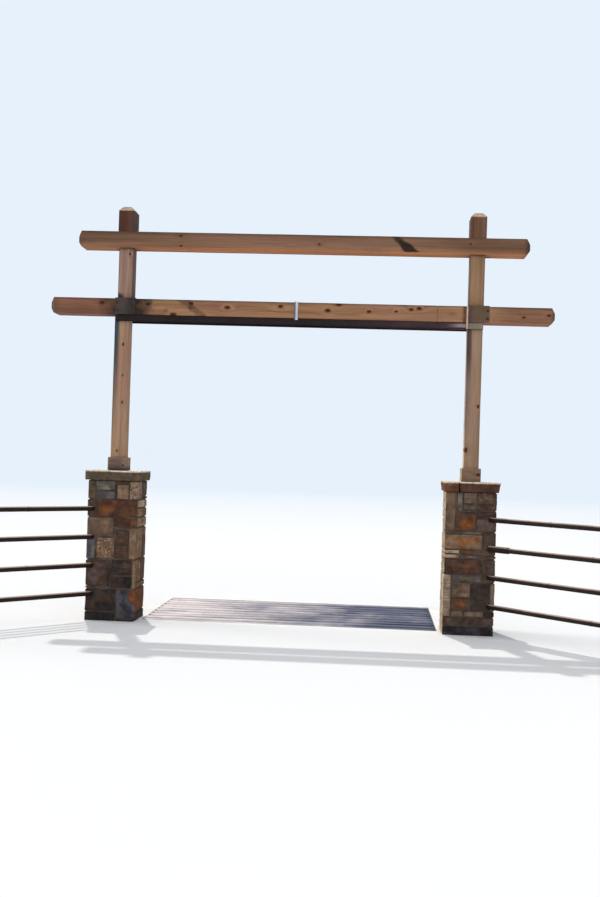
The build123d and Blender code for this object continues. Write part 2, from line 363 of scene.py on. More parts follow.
def grid_box(lines, hidden=()):
    """A closed box on three lists of grid lines; a side named in hidden is a single face."""
    counts = [len(each) for each in lines]
    index, verts, faces = {}, [], []

    def at(key):
        if key not in index:
            index[key] = len(verts)
            verts.append(Vector([lines[n][key[n]] for n in range(3)]))
        return index[key]

    for axis in range(3):
        first, second = (axis + 1) % 3, (axis + 2) % 3
        wide, high = counts[first] - 1, counts[second] - 1
        for end in (0, counts[axis] - 1):
            def corner(p, q):
                key = [end] * 3
                key[first], key[second] = p, q
                return at(tuple(key))
            if (axis, end > 0) in hidden:
                loop = [corner(p, 0) for p in range(wide)]
                loop += [corner(wide, q) for q in range(high)]
                loop += [corner(p, high) for p in range(wide, 0, -1)]
                loop += [corner(0, q) for q in range(high, 0, -1)]
                made = [loop]
            else:
                made = [
                    [corner(p, q), corner(p + 1, q), corner(p + 1, q + 1), corner(p, q + 1)]
                    for p in range(wide) for q in range(high)
                ]
            faces += made if end else [face[::-1] for face in made]
    return verts, faces


def edge_lines(low, high, step, margins=(0.004, 0.010)):
    """Grid lines that crowd towards both ends, where the edges are rounded."""
    margins = [m for m in margins if m < (high - low) * 0.35]
    inset = margins[-1] if margins else 0
    inner_low, inner_high = low + inset, high - inset
    count = max(1, round((inner_high - inner_low) / step))
    middle = [inner_low + (inner_high - inner_low) * i / count for i in range(count + 1)]
    if not margins:
        return middle
    near_low = [low] + [low + m for m in margins[:-1]]
    return near_low + middle + [high - m for m in margins[-2::-1]] + [high]


def rounded(p, low, high, radius):
    """A point of a box's skin moved onto the same box with rounded edges, and its normal."""
    inner = Vector([min(max(p[i], low[i] + radius), high[i] - radius) for i in range(3)])
    away = p - inner
    if away.length < 1e-9:
        return p.copy(), Vector((0, 0, 0))
    away.normalize()
    return inner + away * radius, away


def skinned_box(low, high, step, radius, settle):
    """A box with rounded edges; settle(p, skin, out) gives each point its final place."""
    verts, faces = grid_box([edge_lines(low[i], high[i], step) for i in range(3)])
    return [settle(p, *rounded(p, low, high, radius)) for p in verts], faces


def ring_frame(direction):
    """A direction with the two that stand square on it."""
    direction = Vector(direction).normalized()
    side = direction.orthogonal().normalized()
    return direction, side, direction.cross(side)


def lathe(profile, start, direction, segments=24, wobble=0.0):
    """A closed turned shape: profile is (distance along, radius) from axis to axis."""
    direction, side, up = ring_frame(direction)
    start = Vector(start)
    verts, faces, rings = [], [], []
    for along, radius in profile:
        centre = start + direction * along
        if radius <= 0:
            rings.append([len(verts)])
            verts.append(centre)
            continue
        ring = []
        for i in range(segments):
            angle = math.tau * i / segments
            out = side * math.cos(angle) + up * math.sin(angle)
            dent = wobble * noise(centre * 3 + out * 0.7) if wobble else 0.0
            ring.append(len(verts))
            verts.append(centre + out * (radius + dent))
        rings.append(ring)
    for a, b in zip(rings, rings[1:]):
        for i in range(segments):
            j = (i + 1) % segments
            if len(a) == 1:
                faces.append([a[0], b[j], b[i]])
            elif len(b) == 1:
                faces.append([a[i], a[j], b[0]])
            else:
                faces.append([a[i], a[j], b[j], b[i]])
    return verts, faces


def add_prism(soup, outline, axis, low, high, bevel, tone=None, lengths=1, level_cuts=()):
    """Adds a prism of a flat outline along X or Y with every edge eased. It is cut across into
    equal lengths, and level at the heights given, to carry more than one tone."""
    made = bmesh.new()

    def point(a, b, t):
        return {"X": (t, a, b), "Y": (a, t, b)}[axis]

    near = [made.verts.new(point(a, b, low)) for a, b in outline]
    far = [made.verts.new(point(a, b, high)) for a, b in outline]
    made.faces.new(near)
    made.faces.new(far[::-1])
    for i in range(len(outline)):
        j = (i + 1) % len(outline)
        made.faces.new([near[i], far[i], far[j], near[j]])
    bmesh.ops.recalc_face_normals(made, faces=made.faces)
    bmesh.ops.bevel(made, geom=list(made.edges), offset=bevel, segments=2, profile=0.5,
                    affect="EDGES")
    across, upward = Vector(point(0, 0, 1)), Vector((0, 0, 1))
    planes = [(across, low + (high - low) * n / lengths) for n in range(1, lengths)]
    planes += [(upward, z) for z in level_cuts]
    for normal, at in planes:
        parts = [*made.verts, *made.edges, *made.faces]
        bmesh.ops.bisect_plane(made, geom=parts, plane_co=normal * at, plane_no=normal)
    # Cuts leave points and faces in an order that differs from run to run, so both are sorted
    ordered = sorted(made.verts, key=lambda v: [round(c, 6) for c in v.co])
    for index, v in enumerate(ordered):
        v.index = index
    verts, faces = [v.co.copy() for v in ordered], []
    for face in made.faces:
        loop = [v.index for v in face.verts]
        first = loop.index(min(loop))
        faces.append(loop[first:] + loop[:first])
    made.free()
    soup.add(verts, sorted(faces), 0, tone)


def rectangle(a_low, a_high, b_low, b_high):
    return [(a_low, b_low), (a_high, b_low), (a_high, b_high), (a_low, b_high)]


def bolt(soup, centre, across, thick):
    """A bolt head with its washer and the stud's end, on a face that looks to the front."""
    radius = across / 2 / math.cos(math.pi / 6)
    washer = [(0, 0), (0, across * 0.95), (0.0025, across * 0.95), (0.003, across * 0.9),
              (0.003, 0)]
    head = [(0.002, 0), (0.002, radius), (thick * 0.8, radius), (thick, radius * 0.86), (thick, 0)]
    stud = [(thick - 0.001, 0), (thick - 0.001, across * 0.3), (thick + 0.006, across * 0.3),
            (thick + 0.008, across * 0.24), (thick + 0.008, 0)]
    for profile, segments in ((washer, 20), (head, 6), (stud, 14)):
        soup.add(*lathe(profile, centre, (0, -1, 0), segments))


# ---- Camera, at the photograph's place ----
EYE = Vector((0.9965, -14.1905, 2.3110))
YAW, PITCH, ROLL = -0.0646, 0.0098, 0.0316
FOCAL_IN_PIXELS, IMAGE_HEIGHT, SENSOR = 1164.8, 897, 36.0

ahead = Vector((math.sin(YAW) * math.cos(PITCH), math.cos(YAW) * math.cos(PITCH), math.sin(PITCH)))
level = Vector((math.cos(YAW), -math.sin(YAW), 0))
upright = level.cross(ahead)
right_hand = level * math.cos(ROLL) + upright * math.sin(ROLL)
overhead = upright * math.cos(ROLL) - level * math.sin(ROLL)
camera_data = bpy.data.cameras.new("camera")
camera_data.sensor_width = SENSOR
camera_data.lens = FOCAL_IN_PIXELS / IMAGE_HEIGHT * SENSOR
camera_data.clip_end = 400
camera = bpy.data.objects.new("camera", camera_data)
bpy.context.scene.collection.objects.link(camera)
pose = Matrix((right_hand, overhead, -ahead)).transposed().to_4x4()
pose.translation = EYE
camera.matrix_world = pose
bpy.context.scene.camera = camera
bpy.context.scene.view_settings.view_transform = "Standard"


# ---- Stone piers ----
# Each row is a stone: left, right, bottom and top in mm from the face's left edge and from the
# drive, then its colour, its kind, how rough it is split and its accent colour.
KINDS = ["plain", "banded", "speckled"]
FRONT_STONES = {"left": """
    0 99 1466 1692 olive plain 7 charcoal
    99 340 1569 1692 ash banded 6 pebble
    99 340 1466 1563 ash plain 4 graphite
    340 356 1466 1692 umber plain 4 bark
    358 506 1651 1692 umber banded 5 bark
    358 506 1466 1647 tan plain 3 sand
    512 610 1466 1692 sand speckled 8 bisque
    0 133 1250 1460 umber plain 8 mauve
    133 610 1250 1460 plum plain 6 russet
    0 329 1012 1248 taupe plain 3 tan
    329 526 1130 1244 plum plain 5 umber
    526 610 1130 1244 bark plain 8 russet
    354 516 1104 1126 slate plain 3 pebble
    354 516 751 1100 umber banded 8 bark
    520 610 745 1124 tan plain 5 fawn
    0 108 739 1006 slate plain 3 pebble
    125 350 745 1006 tan speckled 5 sand
    0 306 643 731 umber banded 6 mauve
    0 252 415 637 umber plain 7 mauve
    256 308 415 637 charcoal plain 8 umber
    311 566 547 741 charcoal banded 9 umber
    311 566 389 541 soot plain 9 umber
    570 610 389 739 fawn banded 6 tan
    0 383 385 411 ash plain 4 mauve
    0 383 112 381 soot plain 11 umber
    0 383 -12 108 soot plain 8 charcoal
    389 610 30 383 slate plain 4 soot
    389 610 -12 26 charcoal plain 6 umber
""", "right": """
    0 122 1227 1692 taupe plain 6 tan
    136 207 1452 1692 mauve plain 6 pebble
    211 369 1555 1692 taupe banded 6 pebble
    211 369 1474 1549 olive banded 5 taupe
    126 369 1227 1447 bark plain 7 russet
    373 610 1476 1692 umber banded 7 taupe
    373 610 1385 1472 umber banded 8 charcoal
    373 610 1225 1381 mauve plain 5 taupe
    0 449 1197 1223 ash plain 4 sand
    0 449 1012 1193 tan plain 5 ochre
    453 610 1012 1221 umber plain 6 mauve
    0 182 960 1008 bisque plain 3 fawn
    0 182 905 956 fawn plain 3 bisque
    186 610 950 1008 bark banded 6 taupe
    186 610 905 946 mauve banded 5 taupe
    0 448 721 901 plum plain 7 charcoal
    452 610 705 901 umber plain 6 mauve
    99 448 626 717 ash banded 6 olive
    452 610 626 701 olive banded 6 umber
    0 95 217 717 sand banded 6 sand
    99 322 440 622 taupe banded 6 tan
    99 322 294 436 bark plain 6 umber
    326 549 288 622 charcoal plain 8 umber
    553 610 288 622 tan plain 6 pebble
    99 247 217 290 taupe plain 5 umber
    251 482 217 284 tan plain 5 pebble
    486 610 217 284 charcoal plain 6 umber
    0 610 113 213 umber plain 5 mauve
    0 610 -12 109 soot plain 6 graphite
"""}
# The left pier's face that looks across the drive, from its front corner back, and how far the
# front's corner stones reach round onto it, by the heights that they start at.
LEFT_INNER = """
    290 610 1500 1692 umber banded 7 olive
    66 610 1362 1460 bisque plain 5 fawn
    66 400 1250 1358 fawn banded 5 sand
    404 610 1250 1358 taupe plain 5 bark
    66 610 1128 1246 fawn banded 5 sand
    382 610 745 1122 bark plain 6 fawn
    66 350 463 741 taupe banded 6 fawn
    354 610 463 741 bark plain 6 taupe
    66 610 389 459 taupe plain 6 tan
    66 610 100 383 russet plain 6 ochre
    66 610 -12 96 charcoal plain 6 umber
"""
LEFT_RETURNS = {1466: 290, 1250: 66, 1130: 66, 745: 380, 389: 66, 30: 66}
# Bright iron colour inside a front stone: its centre from the left edge and up, radii, strength
IRON_SPOTS = {
    "left": [(235, 1352, 120, 60, 0.45), (560, 1190, 50, 60, 0.35), (596, 290, 60, 100, 1.0)],
    "right": [(262, 1322, 84, 52, 1.0), (215, 368, 66, 44, 0.8), (260, 820, 120, 28, 0.35),
              (270, 1110, 190, 60, 0.65)],
}
# What the faces that the photograph doesn't show are laid in
OTHER_TONES = {"umber": 16, "russet": 13, "taupe": 14, "tan": 9, "mauve": 13, "ash": 9,
               "slate": 7, "olive": 9, "charcoal": 7, "plum": 6, "sand": 4}
OTHER_KINDS = [60, 28, 12]
# Sizes of those stones in mm; a gap too small for another stone is added to the one beside it
WIDTHS, SPARE_WIDTH, WIDEST = (110, 340), 80, 400
HEIGHTS, SPARE_HEIGHT, TALLEST, SLENDEREST, LEAST = (95, 250), 42, 280, 2.2, 24
FLAT_SHARE, FLAT_FROM, FLAT_HEIGHTS = 0.35, 170, (42, 75)
FACE, PIER_X = 0.610, 2.15
FACE_MM, FOOT_MM, TOP_MM, CELL = 610, -12, 1692, 6
STONE_STEP, JOINT, STONE_DEPTH, MORTAR_DEPTH = 0.0135, 0.0035, 0.058, 0.016
MORTAR_SLOT, FOOTING_SLOT = 3, 4
stones = [stone_material(kind) for kind in KINDS]
mortar = mortar_material()
footing_concrete = concrete_material("footing_concrete", (178, 172, 164), (150, 143, 134),
                                     (3, 3, 40))


def stone_rows(table):
    """The rows as (left, right, bottom, top), colour, slot of the kind, roughness, accent."""
    for row in table.strip().splitlines():
        left, right, bottom, top, tone, kind, rough, accent = row.split()
        rect = int(left), int(right), int(bottom), int(top)
        yield rect, tone, KINDS.index(kind), int(rough), accent


def pack_face(taken, chance):
    """Fills what is free of a face with stones; rectangles are (left, right, bottom, top)."""
    wide, high = round(FACE_MM / CELL), round((TOP_MM - FOOT_MM) / CELL)
    used = [[False] * wide for _ in range(high)]
    for left, right, low, up in taken:
        rows = range(max(0, round((low - FOOT_MM) / CELL)),
                     min(high, round((up - FOOT_MM) / CELL)))
        for row in rows:
            for column in range(round(left / CELL), min(wide, round(right / CELL))):
                used[row][column] = True
    made = []
    for row in range(high):
        for column in range(wide):
            if used[row][column]:
                continue
            run = 1
            while column + run < wide and not used[row][column + run]:
                run += 1
            width = round(chance.uniform(*WIDTHS) / CELL)
            if run - width < SPARE_WIDTH / CELL:
                width = run if run < WIDEST / CELL else run // 2
            width = min(width, run)
            free = 1
            while row + free < high and not any(used[row + free][column:column + width]):
                free += 1
            flat = chance.random() < FLAT_SHARE and width > FLAT_FROM / CELL
            height = round(chance.uniform(*(FLAT_HEIGHTS if flat else HEIGHTS)) / CELL)
            height = min(height, max(6, int(width * SLENDEREST)))
            if free - height < SPARE_HEIGHT / CELL:
                height = free if free < TALLEST / CELL else free // 2
            height = min(height, free)
            for r in range(row, row + height):
                used[r][column:column + width] = [True] * width
            if min(width, height) * CELL >= LEAST:
                made.append((column * CELL, min(FACE_MM, (column + width) * CELL),
                             FOOT_MM + row * CELL, FOOT_MM + (row + height) * CELL))
    return made


def lay_stones(side, chance):
    """The stones of all four faces as (face, rectangle, reach round the corner, looks)."""
    laid, returns = [], {face: [] for face in range(4)}

    def lay(face, rect, *looks):
        left, right, low, up = rect
        reach = 200 if up - low > 300 else 120 if right - left > 300 else 170
        reach = round((reach + chance.uniform(-50, 90)) / CELL) * CELL
        if side == "left" and face == 0 and right > FACE_MM - CELL:
            reach = LEFT_RETURNS.get(low, reach)
        if right > FACE_MM - CELL and face != 3:
            returns[face + 1].append((0, reach, low, up))
        if left < CELL and face == 0:
            returns[3].append((FACE_MM - reach, FACE_MM, low, up))
        laid.append((face, rect, reach, looks))

    for row in stone_rows(FRONT_STONES[side]):
        lay(0, *row)
    if side == "left":
        for row in stone_rows(LEFT_INNER):
            lay(1, *row)
    for face in range(4):
        taken = [rect for at, rect, *_ in laid if at == face] + returns[face]
        for rect in pack_face(taken, chance):
            tone, accent = chance.choices([*OTHER_TONES], [*OTHER_TONES.values()], k=2)
            kind = chance.choices(range(3), OTHER_KINDS)[0]
            lay(face, rect, tone, kind, chance.uniform(3.5, 9), accent)
    return laid


def stone_pier(side, centre_x):
    """A pier of separate stones on a mortar core, with a cast footing below the drive."""
    chance = random.Random({"left": 11, "right": 29}[side])
    origin = Vector((centre_x - FACE / 2, -FACE / 2))
    soup = Soup()
    for face, (left, right, low, up), reach, looks in lay_stones(side, chance):
        tone, kind, rough, accent = looks
        turns_right = right > FACE_MM - CELL and face != 3
        turns_left = left < CELL and face == 0
        # u runs along the face, w is the depth behind it
        w_low = chance.uniform(0, 3.5) * MM
        u_low, u_high = left * MM + JOINT, right * MM - JOINT
        z_low, z_high = DRIVE + low * MM + JOINT, DRIVE + up * MM - JOINT
        if z_high - z_low < 0.012 or u_high - u_low < 0.008:
            continue
        if turns_right:
            u_high = FACE - w_low
        if turns_left:
            u_low = w_low
        w_high = reach * MM - JOINT if turns_right or turns_left else STONE_DEPTH
        low_xy, high_xy = [
            ((u_low, w_low), (u_high, w_high)),
            ((FACE - w_high, u_low), (FACE - w_low, u_high)),
            ((FACE - u_high, FACE - w_high), (FACE - u_low, FACE - w_low)),
            ((w_low, FACE - u_high), (w_high, FACE - u_low)),
        ][face]
        low_point = Vector((origin.x + low_xy[0], origin.y + low_xy[1], z_low))
        high_point = Vector((origin.x + high_xy[0], origin.y + high_xy[1], z_high))
        lines = [edge_lines(low_point[i], high_point[i], STONE_STEP) for i in range(3)]
        hidden = set()
        if not (turns_right or turns_left):
            depth_axis, outer_low = (face + 1) % 2, face in (0, 3)
            hidden.add((depth_axis, outer_low))
            near = [0, 0.004, 0.010, 0.022, w_high - w_low]
            edge = low_point[depth_axis] if outer_low else high_point[depth_axis]
            lines[depth_axis] = sorted(edge + (step if outer_low else -step) for step in near)
        verts, faces = grid_box(lines, hidden)
        seed = Vector([chance.uniform(-50, 50) for _ in range(3)])
        radius = min(chance.uniform(6, 11) * MM, (z_high - z_low) * 0.35)
        grain = [(1, 1, 1), (0.6, 0.6, 5.5), (1.6, 1.6, 1.6)][kind]
        moved = []
        for p in verts:
            skin, out = rounded(p, low_point, high_point, radius)
            q = p + seed
            broad = noise(Vector([q[i] * 8 * grain[i] for i in range(3)]))
            chips, fine = (0.5 + 0.5 * noise(q * scale) for scale in (31, 85))
            relief = -rough * MM * max(0.0, 0.34 + 0.6 * broad) - 0.002 * chips - 0.0009 * fine
            wander = Vector([noise(q * 9 + seed * n) for n in (0, 1, -1)]) * 0.0036
            for axis in range(3):
                if abs(out[axis]) > 0.5:
                    wander[axis] = 0
            moved.append(skin + out * relief + wander)
        strength = chance.uniform(0.95, 1.1)

        def tone_at(p):
            q = p + seed
            share = ease(noise(q * 8) + 0.4 * noise(q * 25), -0.12, 0.5)
            colour = blend_tone(STONE[tone], STONE[accent], share * 0.85)
            for u, z, wide, high, amount in IRON_SPOTS[side] if face == 0 else ():
                away = math.hypot(((p.x - origin.x) / MM - u) / wide,
                                  ((p.z - DRIVE) / MM - z) / high) + 0.35 * noise(q * 20)
                colour = blend_tone(colour, STONE["ochre"], amount * fade(away, 0.4, 1.1))
            # What looks left gets painted sunlight
            if p.x < origin.x + 0.012 and p.y > origin.y + 0.016:
                colour = blend_tone(colour, STONE["painted_sunlight"], 0.7)
            return mottled(colour, q, 0.3, 16, strength)

        soup.add(moved, faces, kind, tone_at)

    def mortar_skin(p, skin, out):
        out.z = 0
        return skin + out * 0.004 * noise(p * 26)

    def cast_skin(p, skin, out):
        out.z = 0
        board = 0.0025 if (p.z % 0.14) < 0.012 else 0.0
        return skin - out * (board + 0.0015 * (1 + noise(p * 14)))

    core, top = FACE / 2 - MORTAR_DEPTH, DRIVE + TOP_MM * MM
    for half, z_low, z_high, radius, skin_of, slot in (
            (core, DRIVE - 0.02, top, 0.004, mortar_skin, MORTAR_SLOT),
            (FACE / 2, 0, DRIVE - 0.013, 0.008, cast_skin, FOOTING_SLOT)):
        low = Vector((centre_x - half, -half, z_low))
        high = Vector((centre_x + half, half, z_high))
        soup.add(*skinned_box(low, high, 0.03, radius, skin_of), slot)
    soup.piece(f"stone_pier_{side}", [*stones, mortar, footing_concrete], [f"pier_{side}"],
               "ledgestone")


for side, sign in SIDES:
    stone_pier(side, sign * PIER_X)


# ---- Pier caps ----
CAP_HALF, CAP_LOW, CAP_HIGH = 0.341, DRIVE + 1.692, DRIVE + 1.813
CAP_JOINT_X, CAP_JOINT = 2.003, 0.004


def cap_slab(soup, x_low, x_high, tone, accent, flare, seed_value):
    """A rock-faced slab; flare draws its ends in towards their feet."""
    seed = Vector((seed_value, seed_value * 1.7, seed_value * 2.3))
    low, high = Vector((x_low, -CAP_HALF, CAP_LOW)), Vector((x_high, CAP_HALF, CAP_HIGH))

    def split_skin(p, skin, out):
        q = p + seed
        if abs(out.z) < 0.6:
            split = 0.5 + 0.5 * noise(Vector((q.x * 11, q.y * 11, q.z * 24)))
            depth = 0.009 * split + 0.003 * (0.5 + 0.5 * noise(q * 55))
        else:
            depth = 0.003 * (0.5 + 0.5 * noise(q * 7))
            depth += 0.001 * (0.5 + 0.5 * noise(q * 40))
        v = skin - out * depth
        drop = 1 - (v.z - low.z) / (high.z - low.z)
        if v.x > (low.x + high.x) / 2:
            v.x -= flare[1] * drop * ease(v.x, high.x - 0.09, high.x)
        else:
            v.x += flare[0] * drop * fade(v.x, low.x, low.x + 0.09)
        return v

    def tone_at(p):
        q = p + seed
        share = ease(noise(q * 6) + 0.4 * noise(q * 19), -0.1, 0.6)
        colour = blend_tone(STONE[tone], STONE[accent], share * 0.7)
        # The top and its upper arrises are painted near white, as painted sunlight
        if p.z > CAP_HIGH - 0.013:
            colour = layered(colour, ((222, 208, 186), 0.88))
        return mottled(colour, q, 0.2, 15)

    soup.add(*skinned_box(low, high, 0.012, 0.009, split_skin), 0, tone_at)


for side, name, slabs in (
        ("left", "cap_stone_left", [
            (-PIER_X - CAP_HALF, -PIER_X + CAP_HALF, "olive", "taupe", (0.004, 0.010), 3.1)]),
        ("right", "cap_stones_right", [
            (PIER_X - CAP_HALF, CAP_JOINT_X - CAP_JOINT, "russet", "fawn", (0.014, 0.0), 7.7),
            (CAP_JOINT_X + CAP_JOINT, PIER_X + CAP_HALF, "plum", "russet", (0.0, 0.020), 5.3)])):
    cap = Soup()
    for slab in slabs:
        cap_slab(cap, *slab)
    cap.piece(name, stones, [f"pier_cap_{side}"], "capstone")


# ---- Timbers ----
TIMBER_STEP, LENGTH_STEP, ARRIS_STEPS = 0.024, 0.026, (0.0025, 0.007, 0.016)
TIP_STEPS = (0.0, 0.5, 0.92, 1.0, 1.15)
SAWN_STEPS = (0.0, 0.003, 0.009)
CHECK_STEPS = (-0.004, -0.0015, 0.0, 0.0015, 0.004)


def timber(soup, low, high, axis, tone, stain_and_shade=None, tips=(False, False), inset=0.0, reach=0.0,
           radius=0.007, slot=0, checks=()):
    """A sawn timber with eased arrises, bevelled tips and drying checks. tips says which ends
    are bevelled, checks are (axis of the face, its side, across, from, to, depth)."""
    low, high = Vector(low), Vector(high)
    lines = [edge_lines(low[i], high[i], TIMBER_STEP, ARRIS_STEPS) for i in range(3)]
    steps = [[reach * t for t in TIP_STEPS] if tip else SAWN_STEPS for tip in tips]
    near, tail = [low[axis] + d for d in steps[0]], [high[axis] - d for d in reversed(steps[1])]
    gap = tail[0] - near[-1]
    count = round(gap / LENGTH_STEP)
    lines[axis] = near + [near[-1] + gap * n / count for n in range(1, count)] + tail
    for face_axis, _, across, *_ in checks:
        other = 3 - axis - face_axis
        lines[other] = sorted({*lines[other], *(across + d for d in CHECK_STEPS)})
    verts, faces = grid_box(lines)
    centre = (low + high) / 2
    moved = []
    for p in verts:
        bound_low, bound_high = low.copy(), high.copy()
        shrink = 0.0
        if tips[0] and p[axis] - low[axis] < reach:
            shrink = 1 - (p[axis] - low[axis]) / reach
        if tips[1] and high[axis] - p[axis] < reach:
            shrink = 1 - (high[axis] - p[axis]) / reach
        skin = p.copy()
        for i in range(3):
            if i != axis:
                half = (high[i] - low[i]) / 2
                ratio = (half - inset * shrink) / half
                skin[i] = centre[i] + (p[i] - centre[i]) * ratio
                bound_low[i] = centre[i] - half * ratio
                bound_high[i] = centre[i] + half * ratio
        skin, out = rounded(skin, bound_low, bound_high, radius)
        out[axis] = 0
        q = Vector(p)
        q[axis] *= 0.22
        skin -= out * (0.0012 * (1 + noise(q * 9)) + 0.0005 * (1 + noise(q * 60)))
        for face_axis, face_side, across, start, stop, depth in checks:
            other = 3 - axis - face_axis
            face_at = high[face_axis] if face_side > 0 else low[face_axis]
            if abs(p[face_axis] - face_at) > 1e-6:
                continue
            away = abs(p[other] - across)
            if away < 0.001:
                open_here = ease(p[axis], start, start + 0.12) * fade(p[axis], stop - 0.12, stop)
                skin[face_axis] -= face_side * depth * open_here
            if away < 0.0055 and start < p[axis] < stop:
                skin[other] += 0.004 * noise(Vector((p[axis] * 3, across * 50, 0)))
        moved.append(skin)
    soup.add(moved, faces, slot, tone, stain_and_shade)


def timber_piece(name, node_name, wood, *placed, **shape):
    soup = Soup()
    timber(soup, *placed, **shape)
    soup.piece(name, [wood], [node_name], "timber")


# Each knot is (along, across, size); the posts' is (height, x, size)
LOWER_KNOTS = [
    (-2.395, 4.161, 0.026), (-1.825, 4.153, 0.024), (-1.513, 4.032, 0.034),
    (-1.296, 4.175, 0.026), (-0.851, 4.134, 0.030), (-0.202, 4.162, 0.026),
    (0.371, 4.125, 0.030), (0.502, 4.202, 0.028), (0.869, 4.124, 0.024), (1.195, 4.132, 0.018),
    (1.375, 4.161, 0.024), (1.471, 4.175, 0.026), (2.718, 4.095, 0.018), (3.015, 4.126, 0.020)]
UPPER_KNOTS = [
    (-1.447, 4.997, 0.018), (-1.443, 4.872, 0.016), (0.243, 4.925, 0.014), (2.060, 4.965, 0.014)]
POST_KNOTS = [
    (4.770, -2.078, 0.016), (3.660, -2.127, 0.017), (3.280, -2.122, 0.012),
    (2.950, -2.117, 0.015), (2.354, -2.163, 0.014), (2.493, 2.080, 0.026), (3.020, 2.212, 0.020)]
COLLAR_KNOTS = [(2.236, 2.200, 0.022), (-2.078, 2.180, 0.014)]
lower_wood = wood_material("lower_beam_wood", "X", LOWER_KNOTS)
upper_wood = wood_material("upper_beam_wood", "X", UPPER_KNOTS)
post_wood = wood_material("post_wood", "Z", POST_KNOTS)
collar_wood = wood_material("collar_wood", "X", COLLAR_KNOTS)
collar_side_wood = wood_material("collar_side_wood", "X", [])

BEAM_FRONT, BEAM_BACK, POST_HALF, FLANGE = -0.146, 0.146, 0.092, 0.009
UPPER_LOW, UPPER_HIGH, UPPER_ENDS = DRIVE + 4.544, DRIVE + 4.740, (-2.7205, 2.7765)
LOWER_LOW, LOWER_HIGH, LOWER_ENDS = DRIVE + 3.722, DRIVE + 3.918, (-3.0375, 3.0935)
JOINT_X = 1.687
UPPER_POST_X = {"left": -2.125, "right": 2.154}
SADDLE_PLACES = {"left": (-2.231, -1.979), "right": (2.057, 2.309)}
STUB_HALF, STUB_HIGH, STUB_BEVEL = 0.098, DRIVE + 5.048, 0.052
COLLAR_HALF, COLLAR_HIGH = 0.117, CAP_HIGH + 0.162
SUNNY_TONE = (204, 176, 150)


def side_of(p):
    return "right" if p.x > 0 else "left"


def patchy(rgb, p, axis, amount):
    """Sawn softwood runs from pinkish to straw along its length."""
    q = p * 5
    q[axis] *= 0.3
    return layered(shade(*rgb), ((158, 112, 93), amount * ease(noise(q), 0.0, 0.4)),
                   ((146, 118, 80), amount * ease(noise(q + Vector((9, 4, 2))), 0.0, 0.4)))


def slanted_stain(p, top, bottom, z_low, z_high):
    """A blackish mark that leans across a beam's height; top and bottom are (x, half width)."""
    t = (p.z - z_low) / (z_high - z_low)
    middle = bottom[0] + (top[0] - bottom[0]) * t
    half = bottom[1] + (top[1] - bottom[1]) * t
    return fade(abs(p.x - middle) + 0.03 * noise(p * 11), half * 0.3, half * 1.2)


def lower_stain(p):
    """Iron has run from both saddles, and further along the beam's foot by the left one."""
    left, right = SADDLE_PLACES["left"]
    marks = [0.6 * slanted_stain(p, (-1.40, 0.13), (-1.16, 0.10), LOWER_LOW, LOWER_HIGH)]
    if p.x < left:
        away = left - p.x
        marks.append((0.68 - away) * fade(away, 0.17, 0.29))
    elif p.x < -1.4:
        away = p.x - right
        marks.append((0.88 - 1.6 * away) * fade(away, 0.17, 0.27))
        marks.append(0.5 * fade(p.z - LOWER_LOW, 0.05, 0.13) * fade(away, 0.36, 0.5))
    marks.append(0.5 * fade(abs(p.x - 2.015), 0.012, 0.036))
    marks.append(0.45 * fade(abs(p.x - 2.348), 0.02, 0.05) * (0.6 + noise(p * 17)))
    return max(marks)


def upper_stain_and_shade(p):
    """A leaning stain on the front, and painted shade under the beam beside both posts."""
    up = p.z - UPPER_LOW
    t = 1 - up / (UPPER_HIGH - UPPER_LOW)
    front = slanted_stain(p, (1.16, 0.09), (1.37, 0.115), UPPER_LOW, UPPER_HIGH)
    front = (0.72 + 0.28 * t) * front
    marks = [front * ease(up, 0.002, 0.012)]
    # Painted shade on the underside beside both posts
    under = 0.8 * fade(up, 0.002, 0.012) * ease(p.y, 0.02, 0.08)
    for middle, reach in ((-2.255, 0.036), (-2.010, 0.018), (2.048, 0.012), (2.285, 0.036)):
        marks.append(under * fade(abs(p.x - middle), reach, reach + 0.02))
    return max(marks)


def weathered(colour, p, top, ends, reaches, tip_tone):
    """A beam's top has greyed; the arris under it and the very ends are dark."""
    down = top - p.z
    tip = max(fade(p.x - ends[0], 0.0, reaches[0]), fade(ends[1] - p.x, 0.0, reaches[1]))
    return layered(colour, ((60, 51, 45), 0.7 * fade(down, 0.009, 0.022)),
                   ((108, 97, 85), 0.9 * fade(down, 0.0038, 0.006)), (tip_tone, 0.85 * tip))


def lower_tone(p):
    up = p.z - LOWER_LOW
    rusty = ease(p.x, 1.975, 2.005) * fade(p.x, 2.038, 2.05)
    faint = fade(math.hypot((p.x - 1.87) / 0.085, (up - 0.092) / 0.034), 0.2, 1.0)
    pale = fade(LOWER_HIGH - p.z, 0.03, 0.05) * ease(p.x, -1.98, -1.95) * fade(p.x, -1.86, -1.78)
    # The underside gets painted bounce light, darker towards its back edge
    under = fade(up, 0.001, 0.006)
    colour = layered(
        patchy((151, 112, 83), p, 0, 0.6),
        ((126, 87, 67), ease(-p.x, 1.9, 2.5)),
        ((98, 71, 56), 0.55 * fade(up, 0.06, 0.13) * ease(-p.x, 2.2, 2.5)),
        ((102, 78, 68), 0.8 * ease(-p.x, 2.91, 2.96)),
        ((130, 94, 72), ease(p.x, 2.2, 2.6)),
        ((98, 58, 26), 0.75 * rusty), ((106, 66, 34), 0.55 * faint),
        ((172, 146, 104), 0.55 * pale),
        ((150, 96, 74) if p.x > 0 else (120, 80, 62), 0.7 * under),
        ((70, 50, 42), 0.7 * under * ease(p.y, 0.085, 0.125)))
    colour = weathered(colour, p, LOWER_HIGH, LOWER_ENDS, (0.046, 0.060), (48, 39, 37))
    return mottled(colour, p, 0.12, 3.1)


